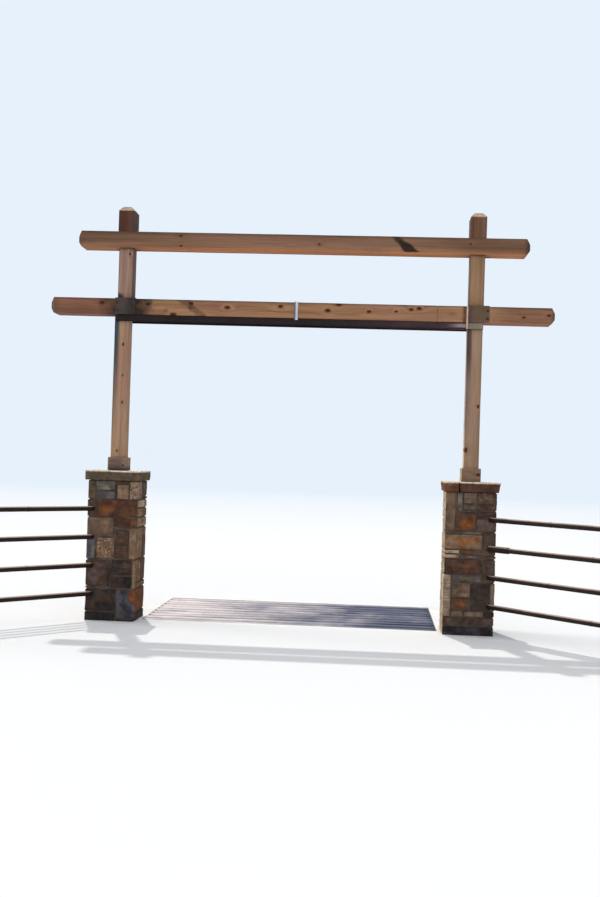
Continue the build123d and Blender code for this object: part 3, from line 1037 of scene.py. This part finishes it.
def upper_tone(p):
    up = p.z - UPPER_LOW
    # Painted bounce light: the front pales towards its foot and the underside glows orange; the
    # underside is darker towards its back edge
    under = fade(up, 0.003, 0.016)
    colour = layered(
        shade(102, 77, 61),
        ((129, 96, 77), ease(p.x, -2.5, -0.6)), ((108, 79, 60), ease(p.x, 1.1, 2.2)),
        ((146, 106, 78), 0.4 * fade(up, 0.012, 0.075)),
        ((178, 112, 66), under * (0.5 + 0.3 * ease(p.x, -2.2, -1.2))),
        ((74, 52, 44), 0.7 * under * ease(p.y, 0.085, 0.125)))
    colour = weathered(colour, p, UPPER_HIGH, UPPER_ENDS, (0.058, 0.090), (34, 25, 25))
    return mottled(colour, p, 0.1, 2.2)


def painted_sunlight(p, low_x):
    """The layer of painted sunlight on what looks left."""
    return SUNNY_TONE, 0.85 if p.x < low_x + 0.0035 else 0.0


def edged(p, middle, half, amount):
    """The layer that darkens both arrises of a post's face."""
    return (72, 60, 58), amount * ease(abs(p.x - middle), half - 0.014, half - 0.005)


def lower_post_tone(p):
    side, up = side_of(p), p.z - DRIVE
    low_x = (PIER_X if side == "right" else -PIER_X) - POST_HALF
    near_front = 0.2 + 0.8 * fade(p.y, -0.088, -0.04)
    edge = p.x - low_x
    if side == "left":
        colour, streak = patchy((158, 126, 101), p, 2, 0.4), near_front * fade(edge, 0.045, 0.08)
        arris = near_front * fade(edge, 0.008, 0.026)
        streaks = [((32, 58, 70), 0.95 * ease(up, 2.3, 3.5) * streak),
                   ((66, 66, 64), 0.6 * ease(up, 2.0, 2.5) * arris)]
    else:
        colour, streak = patchy((142, 116, 95), p, 2, 0.4), near_front * fade(edge, 0.036, 0.062)
        streaks = [((110, 96, 94), 0.8 * ease(up, 2.1, 2.7) * streak),
                   ((60, 46, 46), 0.9 * ease(up, 2.9, 3.4) * streak)]
    # The first layer is painted sunlight on the face that looks left
    return mottled(layered(colour, painted_sunlight(p, low_x), *streaks), p, 0.1, 2.2)


def upper_post_tone(p):
    middle = UPPER_POST_X[side_of(p)]
    # Layers: painted sunlight on the face that looks left, dark arrises, and painted shade at the
    # top under the upper beam
    colour = layered(
        shade(136, 106, 79) if p.x > 0 else shade(142, 114, 101),
        painted_sunlight(p, middle - POST_HALF), edged(p, middle, POST_HALF, 0.7),
        ((84, 64, 54), 0.6 * fade(UPPER_LOW - p.z, 0.012, 0.028)))
    return mottled(colour, p, 0.1, 2.2)


def stub_tone(p):
    # Darker than the posts below: painted shade above the upper beam
    colour = layered(shade(102, 71, 53) if p.x > 0 else shade(80, 50, 40),
                     edged(p, UPPER_POST_X[side_of(p)], STUB_HALF, 0.6))
    # The front of the top bevel is painted pale, as painted light on an upward face
    if p.z > STUB_HIGH - STUB_BEVEL:
        colour = layered(colour, ((200, 176, 152), 0.75 * fade(p.y, -0.09, -0.05)))
    return mottled(colour, p, 0.12, 6)


def post_painted_shade(p):
    """Painted shade on the left upper post's foot over the left saddle; faintly darker just above
    the collars.
    """
    over = p.z - LOWER_HIGH
    # Painted shade just above the lower beam by the left post
    band = 0.75 * ease(over, -0.02, 0.0) * fade(over, 0.04, 0.12)
    band *= fade(p.x - UPPER_POST_X["left"], -0.04, 0.04)
    return max(band, 0.3 * fade(p.z - COLLAR_HIGH, 0.0, 0.073))


# Faces as (axis, side), for the drying checks
FRONT, BACK, TOP, LEFT, RIGHT = (1, -1), (1, 1), (2, 1), (0, -1), (0, 1)
BEVELLED = {"inset": 0.056, "reach": 0.044}
timber_piece("upper_beam_timber", "upper_beam", upper_wood,
             (UPPER_ENDS[0], BEAM_FRONT, UPPER_LOW), (UPPER_ENDS[1], BEAM_BACK, UPPER_HIGH), 0,
             upper_tone, upper_stain_and_shade, tips=(True, True), **BEVELLED,
             checks=[(*FRONT, UPPER_LOW + 0.118, -1.9, -0.6, 0.010),
                     (*FRONT, UPPER_LOW + 0.082, 0.5, 1.7, 0.008),
                     (*TOP, -0.034, -2.3, 2.2, 0.012)])
timber_piece("lower_beam_timber", "lower_beam", lower_wood,
             (LOWER_ENDS[0], BEAM_FRONT, LOWER_LOW), (JOINT_X - 0.001, BEAM_BACK, LOWER_HIGH), 0,
             lower_tone, lower_stain, tips=(True, False), **BEVELLED,
             checks=[(*FRONT, LOWER_LOW + 0.072, -0.7, 0.6, 0.009),
                     (*TOP, 0.020, -2.6, 1.2, 0.012),
                     (*BACK, LOWER_LOW + 0.103, -1.6, 1.1, 0.010)])
timber_piece("lower_beam_end_timber", "lower_beam_end", lower_wood,
             (JOINT_X + 0.001, BEAM_FRONT, LOWER_LOW), (LOWER_ENDS[1], BEAM_BACK, LOWER_HIGH), 0,
             lower_tone, lower_stain, tips=(False, True), **BEVELLED,
             checks=[(*FRONT, LOWER_LOW + 0.111, 2.35, 2.95, 0.007)])

# Each post is in three lengths: under the lower beam, between the beams and on top
for side, sign in SIDES:
    x, lean = sign * PIER_X, 0.018 if side == "left" else -0.024
    timber_piece(f"lower_post_timber_{side}", f"lower_post_{side}", post_wood,
                 (x - POST_HALF, -POST_HALF, CAP_HIGH),
                 (x + POST_HALF, POST_HALF, LOWER_LOW - FLANGE), 2, lower_post_tone, post_painted_shade,
                 checks=[(*FRONT, x + lean, DRIVE + 2.5, DRIVE + 3.2, 0.003),
                         (*RIGHT, 0.012, DRIVE + 2.1, DRIVE + 3.6, 0.012),
                         (*BACK, x - lean, DRIVE + 2.0, DRIVE + 3.5, 0.012)])
    x = UPPER_POST_X[side]
    timber_piece(f"upper_post_timber_{side}", f"upper_post_{side}", post_wood,
                 (x - POST_HALF, -POST_HALF, LOWER_HIGH), (x + POST_HALF, POST_HALF, UPPER_LOW),
                 2, upper_post_tone, post_painted_shade,
                 checks=[(*BACK, x - lean, DRIVE + 4.0, DRIVE + 4.5, 0.010)])
    timber_piece(f"post_stub_timber_{side}", f"post_stub_{side}", post_wood,
                 (x - STUB_HALF, BEAM_FRONT, UPPER_HIGH), (x + STUB_HALF, BEAM_BACK, STUB_HIGH),
                 2, stub_tone, tips=(False, True), inset=0.044, reach=STUB_BEVEL,
                 checks=[(*LEFT, 0.03, DRIVE + 4.76, DRIVE + 4.99, 0.008),
                         (*BACK, x + lean, DRIVE + 4.76, DRIVE + 4.99, 0.008)])

# Collar boards: two run through and two butt between them
SLACK = 0.0005
for side, sign in SIDES:
    x = sign * PIER_X

    def collar_tone(p):
        # The collar's foot gets painted shade, strong on the left collar
        painted_foot_shade = fade(p.z - CAP_HIGH, 0.012, 0.075)
        if side == "left":
            colour = layered(shade(112, 92, 86), ((136, 114, 98), ease(p.x - x, 0.03, 0.10)),
                             ((46, 48, 62), 0.85 * painted_foot_shade))
        else:
            colour = layered(shade(125, 102, 84), ((46, 48, 62), 0.25 * painted_foot_shade))
        # The last layer is painted sunlight on the face that looks left
        return mottled(layered(colour, painted_sunlight(p, x - COLLAR_HALF)), p, 0.2, 9)

    boards = Soup()
    near, far = POST_HALF + SLACK, COLLAR_HALF
    for y_low, y_high in ((-far, -near), (near, far)):
        timber(boards, (x - far, y_low, CAP_HIGH), (x + far, y_high, COLLAR_HIGH), 0,
               collar_tone, radius=0.003)
    far -= 0.001
    for x_low, x_high in ((x - far, x - near), (x + near, x + far)):
        timber(boards, (x_low, -POST_HALF, CAP_HIGH), (x_high, POST_HALF, COLLAR_HIGH), 1,
               collar_tone, radius=0.003, slot=1)
    boards.piece(f"collar_boards_{side}", [collar_wood, collar_side_wood],
                 [f"post_collar_{side}"], "timber")


# ---- Steelwork on the lower beam ----
dark_steel = steel_material("channel_steel", (30, 22, 24), (40, 30, 31), (58, 42, 36), 0.7,
                            rusty=0.3, toned=True)
saddle_steels = {
    "left": steel_material("saddle_left_steel", (66, 56, 52), (52, 45, 44), (74, 54, 44), 0.7,
                           rusty=0.3, toned=True),
    "right": steel_material("saddle_right_steel", (97, 76, 59), (81, 66, 52), (104, 70, 52), 0.7,
                            toned=True),
}
bright_steel = steel_material("galvanized", (226, 232, 244), (196, 202, 216), (150, 140, 134),
                              0.45, 0.2, rusty=0.1, toned=True)
warm_strap = steel_material("painted_strap", (192, 171, 158), (170, 150, 138), (132, 100, 82),
                            0.6, rusty=0.2)
bolt_steel = steel_material("rusty_bolts", (58, 42, 32), (46, 34, 27), (84, 52, 36), 0.8)
worn_plate = steel_material("worn_plate", (134, 120, 106), (112, 98, 88), (100, 80, 66), 0.6)

CHANNEL_LOW, STRAP, SADDLE = LOWER_LOW - 0.080, 0.005, 0.008
CHANNEL_FRONT, CHANNEL_BACK, CHANNEL_ENDS = -0.126, 0.126, (-2.2255, 2.2415)
MIDDLE_STRAP, END_STRAP = (-0.033, 0.013), (2.037, 2.057)


def channel_tone(p):
    """Painted light and shade: darker to the left and brighter to the right, painted shade along
    its lower edge, and a painted highlight streak beside the right post.
    """
    # A painted highlight streak beside the right post
    painted_highlight = ease(p.x, 1.80, 1.98) * fade(abs(p.z - LOWER_LOW + 0.038), 0.012, 0.026)
    # Painted light rises towards the right; the next line paints shade along the lower edge
    level = 0.7 + 1.6 * ease(p.x, 0.2, 1.7)
    level = level * (0.3 + 0.7 * ease(p.z - CHANNEL_LOW, 0.004, 0.016))
    return (level * 1.03 + 12 * painted_highlight, level * 0.92 + 16 * painted_highlight, level + 14.5 * painted_highlight, 1)


web = LOWER_LOW - FLANGE
outline = [(CHANNEL_FRONT, CHANNEL_LOW), (CHANNEL_FRONT, LOWER_LOW), (CHANNEL_BACK, LOWER_LOW),
           (CHANNEL_BACK, CHANNEL_LOW), (CHANNEL_BACK - FLANGE, CHANNEL_LOW),
           (CHANNEL_BACK - FLANGE, web), (CHANNEL_FRONT + FLANGE, web),
           (CHANNEL_FRONT + FLANGE, CHANNEL_LOW)]
channel = Soup()
add_prism(channel, outline, "X", *CHANNEL_ENDS, 0.0022, channel_tone, 60,
          [LOWER_LOW - depth for depth in (0.066, 0.054, 0.038, 0.022, 0.011)])
rivet = [(0, 0), (0, 0.014), (0.002, 0.014), (0.0045, 0.011), (0.006, 0.0)]
for x in (-1.6, -0.8, 0.8, 1.45):
    centre = (x, CHANNEL_FRONT + 0.0002, LOWER_LOW - 0.045)
    channel.add(*lathe(rivet, centre, (0, -1, 0), 16), 0, channel_tone)
channel.piece("channel_iron", [dark_steel], ["beam_channel"], "dark_steel", smooth=False)

plate = Soup()
add_prism(plate, rectangle(2.060, 2.238, LOWER_LOW - 0.076, LOWER_LOW - 0.003), "Y",
          CHANNEL_FRONT - 0.005, CHANNEL_FRONT + 0.001, 0.0015)
plate.piece("channel_end_plate", [worn_plate], (), "saddle_steel", smooth=False)


def saddle_tone(p):
    """The left plate darkens to the right, the right one has a plum strip beside the strap."""
    if p.x < 0:
        level = 1.22 - 0.62 * ease(p.x, -2.13, -2.03)
        return (level, level * 0.98, level * 0.97, 1)
    strip = fade(p.x, 2.085, 2.115)
    return (1 - 0.25 * strip, 1 - 0.38 * strip, 1 - 0.1 * strip, 1)


def band_tone(p):
    """Both edges of the band round the lower beam are darker, wider on the left, as painted shade.
    """
    level = 0.72 - 0.52 * ease(abs(p.x + 0.004), 0.009, 0.018)
    return (level, level, level, 1)


front = BEAM_FRONT - SADDLE
outline = [(front, LOWER_LOW), (front, LOWER_HIGH + SADDLE), (-POST_HALF, LOWER_HIGH + SADDLE),
           (-POST_HALF, LOWER_HIGH), (BEAM_FRONT, LOWER_HIGH), (BEAM_FRONT, LOWER_LOW)]
for side, (x_low, x_high) in SADDLE_PLACES.items():
    steel = saddle_steels[side]
    saddle, bolts = Soup(), Soup()
    add_prism(saddle, outline, "X", x_low, x_high, 0.0025, saddle_tone, 12)
    saddle.piece(f"saddle_plate_{side}", [steel], [f"beam_saddle_{side}"], "saddle_steel",
                 smooth=False)
    # The right saddle's inner bolts are behind the end strap
    for x in (x_low + 0.026, x_high - 0.020) if side == "left" else (x_high - 0.020,):
        for z in (LOWER_LOW + 0.048, LOWER_LOW + 0.142):
            bolt(bolts, (x, front, z), 0.019 if side == "left" else 0.016, 0.010)
    bolts.piece(f"saddle_bolts_{side}", [steel if side == "left" else bolt_steel], (),
                "dark_steel", smooth=False)

front, back = BEAM_FRONT - STRAP, BEAM_BACK + STRAP
low, high = LOWER_LOW - 0.020, LOWER_HIGH + STRAP
outline = [(front, low), (front, high), (back, high), (back, low), (BEAM_BACK, low),
           (BEAM_BACK, LOWER_HIGH), (BEAM_FRONT, LOWER_HIGH), (BEAM_FRONT, low)]
strap = Soup()
add_prism(strap, outline, "X", *MIDDLE_STRAP, 0.0012, band_tone, 12)
strap.piece("middle_strap_band", [bright_steel], ["middle_strap"], "galvanized_steel",
            smooth=False)
strap = Soup()
add_prism(strap, rectangle(front, BEAM_FRONT, CHANNEL_LOW, LOWER_HIGH), "X", *END_STRAP, 0.0012)
strap.piece("end_strap_band", [warm_strap], ["end_strap"], "galvanized_steel", smooth=False)


# ---- Cattle grid ----
grid_steel = grid_material()
bearer_steel = steel_material("bearer_steel", (92, 88, 92), (70, 64, 64), (96, 66, 50), 0.62,
                              0.3, rusty=0.5)
# Pipes are drawn slimmer than the solids by SLIM, so that their dents stay inside them
BAR_RADIUS, BAR_END, WALL, SLIM, DENTS = 0.05715, 1.801, 0.008, 0.0004, 0.0004
OPEN_HALF, PIT_HALF, PIT_FRONT, PIT_BACK = 1.845, 1.805, -0.030, 2.250
BAR_COUNT, BEARER_COUNT = 10, 5
BAR_PITCH = (PIT_BACK - PIT_FRONT) / BAR_COUNT
bar_ys = [PIT_FRONT + (i + 0.5) * BAR_PITCH for i in range(BAR_COUNT)]

# A bar's profile: its hollow end, the length between and the other end in mirror image
mouth = [(0.05, 0), (0.05, BAR_RADIUS - WALL), (0.001, BAR_RADIUS - WALL),
         (0, BAR_RADIUS - WALL + 0.001), (0, BAR_RADIUS - 0.001)]
length, steps = 2 * BAR_END, 44
profile = mouth + [(0.001 + (length - 0.002) * n / steps, BAR_RADIUS - SLIM)
                   for n in range(steps + 1)]
profile += [(length - along, radius) for along, radius in reversed(mouth)]
for i, y in enumerate(bar_ys):
    bar = Soup()
    bar.add(*lathe(profile, (-BAR_END, y, DRIVE - BAR_RADIUS), (1, 0, 0), 40, DENTS))
    bar.piece(f"pipe_bar_{i + 1:02d}", [grid_steel], [f"grid_bar_{i + 1:02d}"], "grid_steel")

# A bead of weld along both sides of each bar where it lies in a bearer
BEAD, LUMPS, BEAD_Z = 0.098, 11, DRIVE - 0.1013
FIRST_BEARER_X, BEARER_PITCH, BITE = -1.56, 0.78, 0.012
profile = [(BEAD * n / LUMPS, 0.0052 + 0.0014 * (n % 2)) for n in range(LUMPS + 1)]
profile = [(0, 0), *profile, (BEAD, 0)]
away = math.sqrt(BAR_RADIUS ** 2 - (BAR_RADIUS - BITE) ** 2) + 0.0035
welds = Soup()
for y in bar_ys:
    for k in range(BEARER_COUNT):
        for sign in (-1, 1):
            start = (FIRST_BEARER_X + BEARER_PITCH * k - BEAD / 2, y + sign * away, BEAD_Z)
            welds.add(*lathe(profile, start, (1, 0, 0), 8))
welds.piece("grid_welds", [bearer_steel], (), "grid_steel")
for k in range(BEARER_COUNT):
    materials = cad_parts[f"grid_bearer_{k + 1}"].data.materials
    materials.clear()
    materials.append(bearer_steel)


# ---- Kerbs of the pit ----
kerb_concrete = concrete_material(
    "kerb_concrete", (242, 240, 238), (228, 225, 222), (4, 90, 90))
side_concrete = concrete_material(
    "side_kerb_concrete", (242, 240, 238), (226, 223, 220), (90, 4, 90))


def kerb(name, node_name, surface, *boxes):
    """Cast concrete in two steps, with eased arrises and a trowelled wave."""
    def trowelled(p, skin, out):
        chip = max(0.0, noise(p * 11) - 0.42) * 0.012
        corner = 1 if sorted(abs(c) for c in out)[1] > 0.3 else 0.12
        return skin - out * (0.0012 * (1 + noise(p * 3.5)) + chip * corner)

    soup = Soup()
    for low, high, radius in boxes:
        soup.add(*skinned_box(Vector(low), Vector(high), 0.04, radius, trowelled))
    soup.piece(name, [surface], [node_name], "concrete")


KERB, PIER_BACK, LEDGE, LEDGE_TOP = 0.150, 0.305, 0.080, 0.0577
FRAME_HALF, FRAME_FRONT, FRAME_BACK = PIT_HALF + KERB, PIT_FRONT - KERB, PIT_BACK + KERB
kerb("front_kerb", "kerb_front", kerb_concrete,
     ((-OPEN_HALF, FRAME_FRONT, 0), (OPEN_HALF, PIT_FRONT, DRIVE), 0.007),
     ((-PIT_HALF, PIT_FRONT - 0.010, 0), (PIT_HALF, PIT_FRONT + LEDGE, LEDGE_TOP), 0.005))
kerb("back_kerb", "kerb_back", kerb_concrete,
     ((-FRAME_HALF, PIT_BACK, 0), (FRAME_HALF, FRAME_BACK, DRIVE), 0.007),
     ((-PIT_HALF, PIT_BACK - LEDGE, 0), (PIT_HALF, PIT_BACK + 0.010, LEDGE_TOP), 0.005))
for side, sign in SIDES:
    narrow = sorted((sign * PIT_HALF, sign * OPEN_HALF))
    wide = sorted((sign * PIT_HALF, sign * FRAME_HALF))
    kerb(f"{side}_kerb", f"kerb_{side}", side_concrete,
         ((narrow[0], PIT_FRONT, 0), (narrow[1], PIER_BACK + 0.010, DRIVE), 0.004),
         ((wide[0], PIER_BACK, 0), (wide[1], PIT_BACK, DRIVE), 0.006))


# ---- Fence panels ----
# The pipes' upward faces get a paler colour as painted sunlight
rust_steel = steel_material("rusty_pipe", (27, 17, 15), (38, 24, 20), (60, 38, 28), 0.7,
                            rusty=0.4, painted_top_light=(182, 160, 144))
RAIL_RADIUS, RAIL_SLIM, RAIL_PITCH, RAILS = 0.03015, 0.0003, 0.342, 4
POST_RADIUS, BAY = 0.04445, 2.440
SUNK, POST_SHAFT, POST_DOME = 0.024, 1.718, 0.022
# Where each starts on its pier, the way it runs and how high its lowest rail is
FENCES = {
    "left": (Vector((-2.395, -0.305, 0)), math.radians(180 + 50.1), DRIVE + 0.321),
    "right": (Vector((2.395, -0.305, 0)), math.radians(-48.9), DRIVE + 0.346),
}


def weld_ring(soup, centre, direction, radius, thick):
    """A lumpy bead of weld round a pipe."""
    direction, side, up = ring_frame(direction)
    verts, faces = [], []
    count, around = 36, 8
    for i in range(count):
        angle = math.tau * i / count
        out = side * math.cos(angle) + up * math.sin(angle)
        lump = thick * (1 + 0.25 * (i % 2) + 0.2 * noise(centre * 20 + out * 3))
        for j in range(around):
            turn = math.tau * j / around
            verts.append(centre + out * (radius + lump * 0.7 * math.cos(turn))
                         + direction * lump * math.sin(turn))
    for i in range(count):
        for j in range(around):
            a, b = i * around + j, i * around + (j + 1) % around
            c, d = ((i + 1) % count) * around + (j + 1) % around, ((i + 1) % count) * around + j
            faces.append([a, d, c, b])
    soup.add(verts, faces)


rail_end, steps = BAY + SUNK - POST_RADIUS * 0.6, 34
rail = [(0, 0), (0, RAIL_RADIUS)]
rail += [(rail_end * n / steps, RAIL_RADIUS - RAIL_SLIM) for n in range(1, steps)]
rail += [(rail_end, RAIL_RADIUS), (rail_end, 0)]
sleeve = [(0, 0), (0, 0.0375), (0.003, 0.0385), (0.300, 0.0385), (0.303, 0.0375), (0.303, 0)]
slim, shaft_steps, dome_steps = POST_RADIUS - SLIM, 30, 7
post = [(0, 0), (0, slim)]
post += [(POST_SHAFT * n / shaft_steps, slim) for n in range(1, shaft_steps + 1)]
for n in range(1, dome_steps):
    turn = math.pi / 2 * n / dome_steps
    post.append((POST_SHAFT + POST_DOME * math.sin(turn), slim * math.cos(turn)))
post.append((POST_SHAFT + POST_DOME, 0))
for side, (start, heading, lowest) in FENCES.items():
    along = Vector((math.cos(heading), math.sin(heading), 0))
    panel = Soup()
    for row in range(RAILS):
        root = start + Vector((0, 0, lowest + RAIL_PITCH * row))
        begin = root - along * SUNK
        panel.add(*lathe(rail, begin, along, 28, DENTS))
        weld_ring(panel, root + along * (BAY - POST_RADIUS + 0.003), along, RAIL_RADIUS, 0.006)
        weld_ring(panel, root + along * (0.9 if row % 2 else 1.5), along, RAIL_RADIUS, 0.0035)
        if side == "right" and row == 2:
            panel.add(*lathe(sleeve, begin, along, 28))
            weld_ring(panel, begin + along * 0.305, along, RAIL_RADIUS, 0.005)
    foot = start + along * BAY
    panel.add(*lathe(post, foot, (0, 0, 1), 32))
    weld_ring(panel, foot + Vector((0, 0, POST_SHAFT - 0.002)), (0, 0, 1), POST_RADIUS - 0.0045,
              0.004)
    panel.piece(f"pipe_fence_{side}", [rust_steel], [f"fence_panel_{side}"], "rusty_pipe")


# ---- Floor, background and light ----
FLOOR_REACH, FLOOR_Z, PIT_Z = 150, DRIVE - 0.0015, -0.002
BACKDROP = (0.80, 0.88, 0.97, 1.0)


def stage_mesh(name, rectangles, z, surface):
    """Flat rectangles (x low, x high, y low, y high) that belong to the stage."""
    verts, faces = [], []
    for x_low, x_high, y_low, y_high in rectangles:
        faces.append([len(verts) + i for i in range(4)])
        verts += [(x, y, z) for x, y in rectangle(x_low, x_high, y_low, y_high)]
    mesh = bpy.data.meshes.new(name)
    mesh.from_pydata(verts, [], faces)
    mesh.materials.append(surface)
    made = bpy.data.objects.new(name, mesh)
    bpy.context.scene.collection.objects.link(made)


def floor_material():
    """Pale floor that keeps shadows near the object and fades into the background far away."""
    made = Surface("pale_floor", 0.9, 0.2)
    made.shader.inputs["Base Color"].default_value = (0.77, 0.77, 0.78, 1.0)
    distance = made.node("VectorMath", {0: made.at}, operation="LENGTH").outputs["Value"]
    seen = made.node("LightPath").outputs["Is Camera Ray"]
    share = made.maths("MULTIPLY", made.spread(distance, 14.0, 60.0), seen)
    back = made.node("Emission", {"Color": BACKDROP, "Strength": 1.0})
    inputs = {0: share, 1: made.shader.outputs[0], 2: back.outputs[0]}
    blend = made.node("MixShader", inputs)
    made.tree.links.new(blend.outputs[0], made.tree.nodes["Material Output"].inputs["Surface"])
    return made.material


def pit_material():
    made = Surface("pit_floor", 0.95, 0.1)
    colour = made.mix(made.cloud(30.0, 6.0, 0.7), shade(92, 84, 76), shade(140, 132, 122))
    made.link(colour, "Base Color")
    return made.material


# The floor leaves the pit's frame and the room between the piers open
stage_mesh("floor", [
    (-FLOOR_REACH, FLOOR_REACH, -FLOOR_REACH, FRAME_FRONT),
    (-FLOOR_REACH, -OPEN_HALF, FRAME_FRONT, PIER_BACK),
    (OPEN_HALF, FLOOR_REACH, FRAME_FRONT, PIER_BACK),
    (-FLOOR_REACH, -FRAME_HALF, PIER_BACK, FRAME_BACK),
    (FRAME_HALF, FLOOR_REACH, PIER_BACK, FRAME_BACK),
    (-FLOOR_REACH, FLOOR_REACH, FRAME_BACK, FLOOR_REACH)], FLOOR_Z, floor_material())
stage_mesh("pit_ground", [(-FRAME_HALF, FRAME_HALF, FRAME_FRONT, FRAME_BACK)], PIT_Z,
           pit_material())

world = bpy.data.worlds.new("studio")
bpy.context.scene.world = world
world.use_nodes = True
sky = world.node_tree
background = sky.nodes["Background"]
background.inputs["Color"].default_value = (0.90, 0.95, 1.0, 1.0)
background.inputs["Strength"].default_value = 0.62
shown = add_node(sky, "Background", {"Color": BACKDROP, "Strength": 1.0})
path = add_node(sky, "LightPath").outputs
seen = path["Is Camera Ray"]
for ray in ("Is Glossy Ray", "Is Transmission Ray"):
    seen = add_node(sky, "Math", {0: seen, 1: path[ray]}, operation="MAXIMUM").outputs[0]
both = add_node(sky, "MixShader", {0: seen, 1: background.outputs[0], 2: shown.outputs[0]})
sky.links.new(both.outputs[0], sky.nodes["World Output"].inputs["Surface"])

# Soft sun lamps: the way the light travels, strength, angle in degrees and colour
for name, travel, strength, angle, colour in (
        ("key", (0.17, -0.52, -1.0), 1.7, 1.2, (1.0, 0.97, 0.92)),
        ("fill", (-0.25, 1.0, -0.35), 0.8, 60, (1.0, 0.98, 0.96)),
        ("left_side", (1.0, -0.25, -0.4), 1.5, 30, (1.0, 0.97, 0.92))):
    data = bpy.data.lights.new(name, "SUN")
    data.energy, data.angle, data.color = strength, math.radians(angle), colour
    lamp = bpy.data.objects.new(name, data)
    bpy.context.scene.collection.objects.link(lamp)
    lamp.matrix_world = Vector(travel).to_track_quat("-Z", "Y").to_matrix().to_4x4()
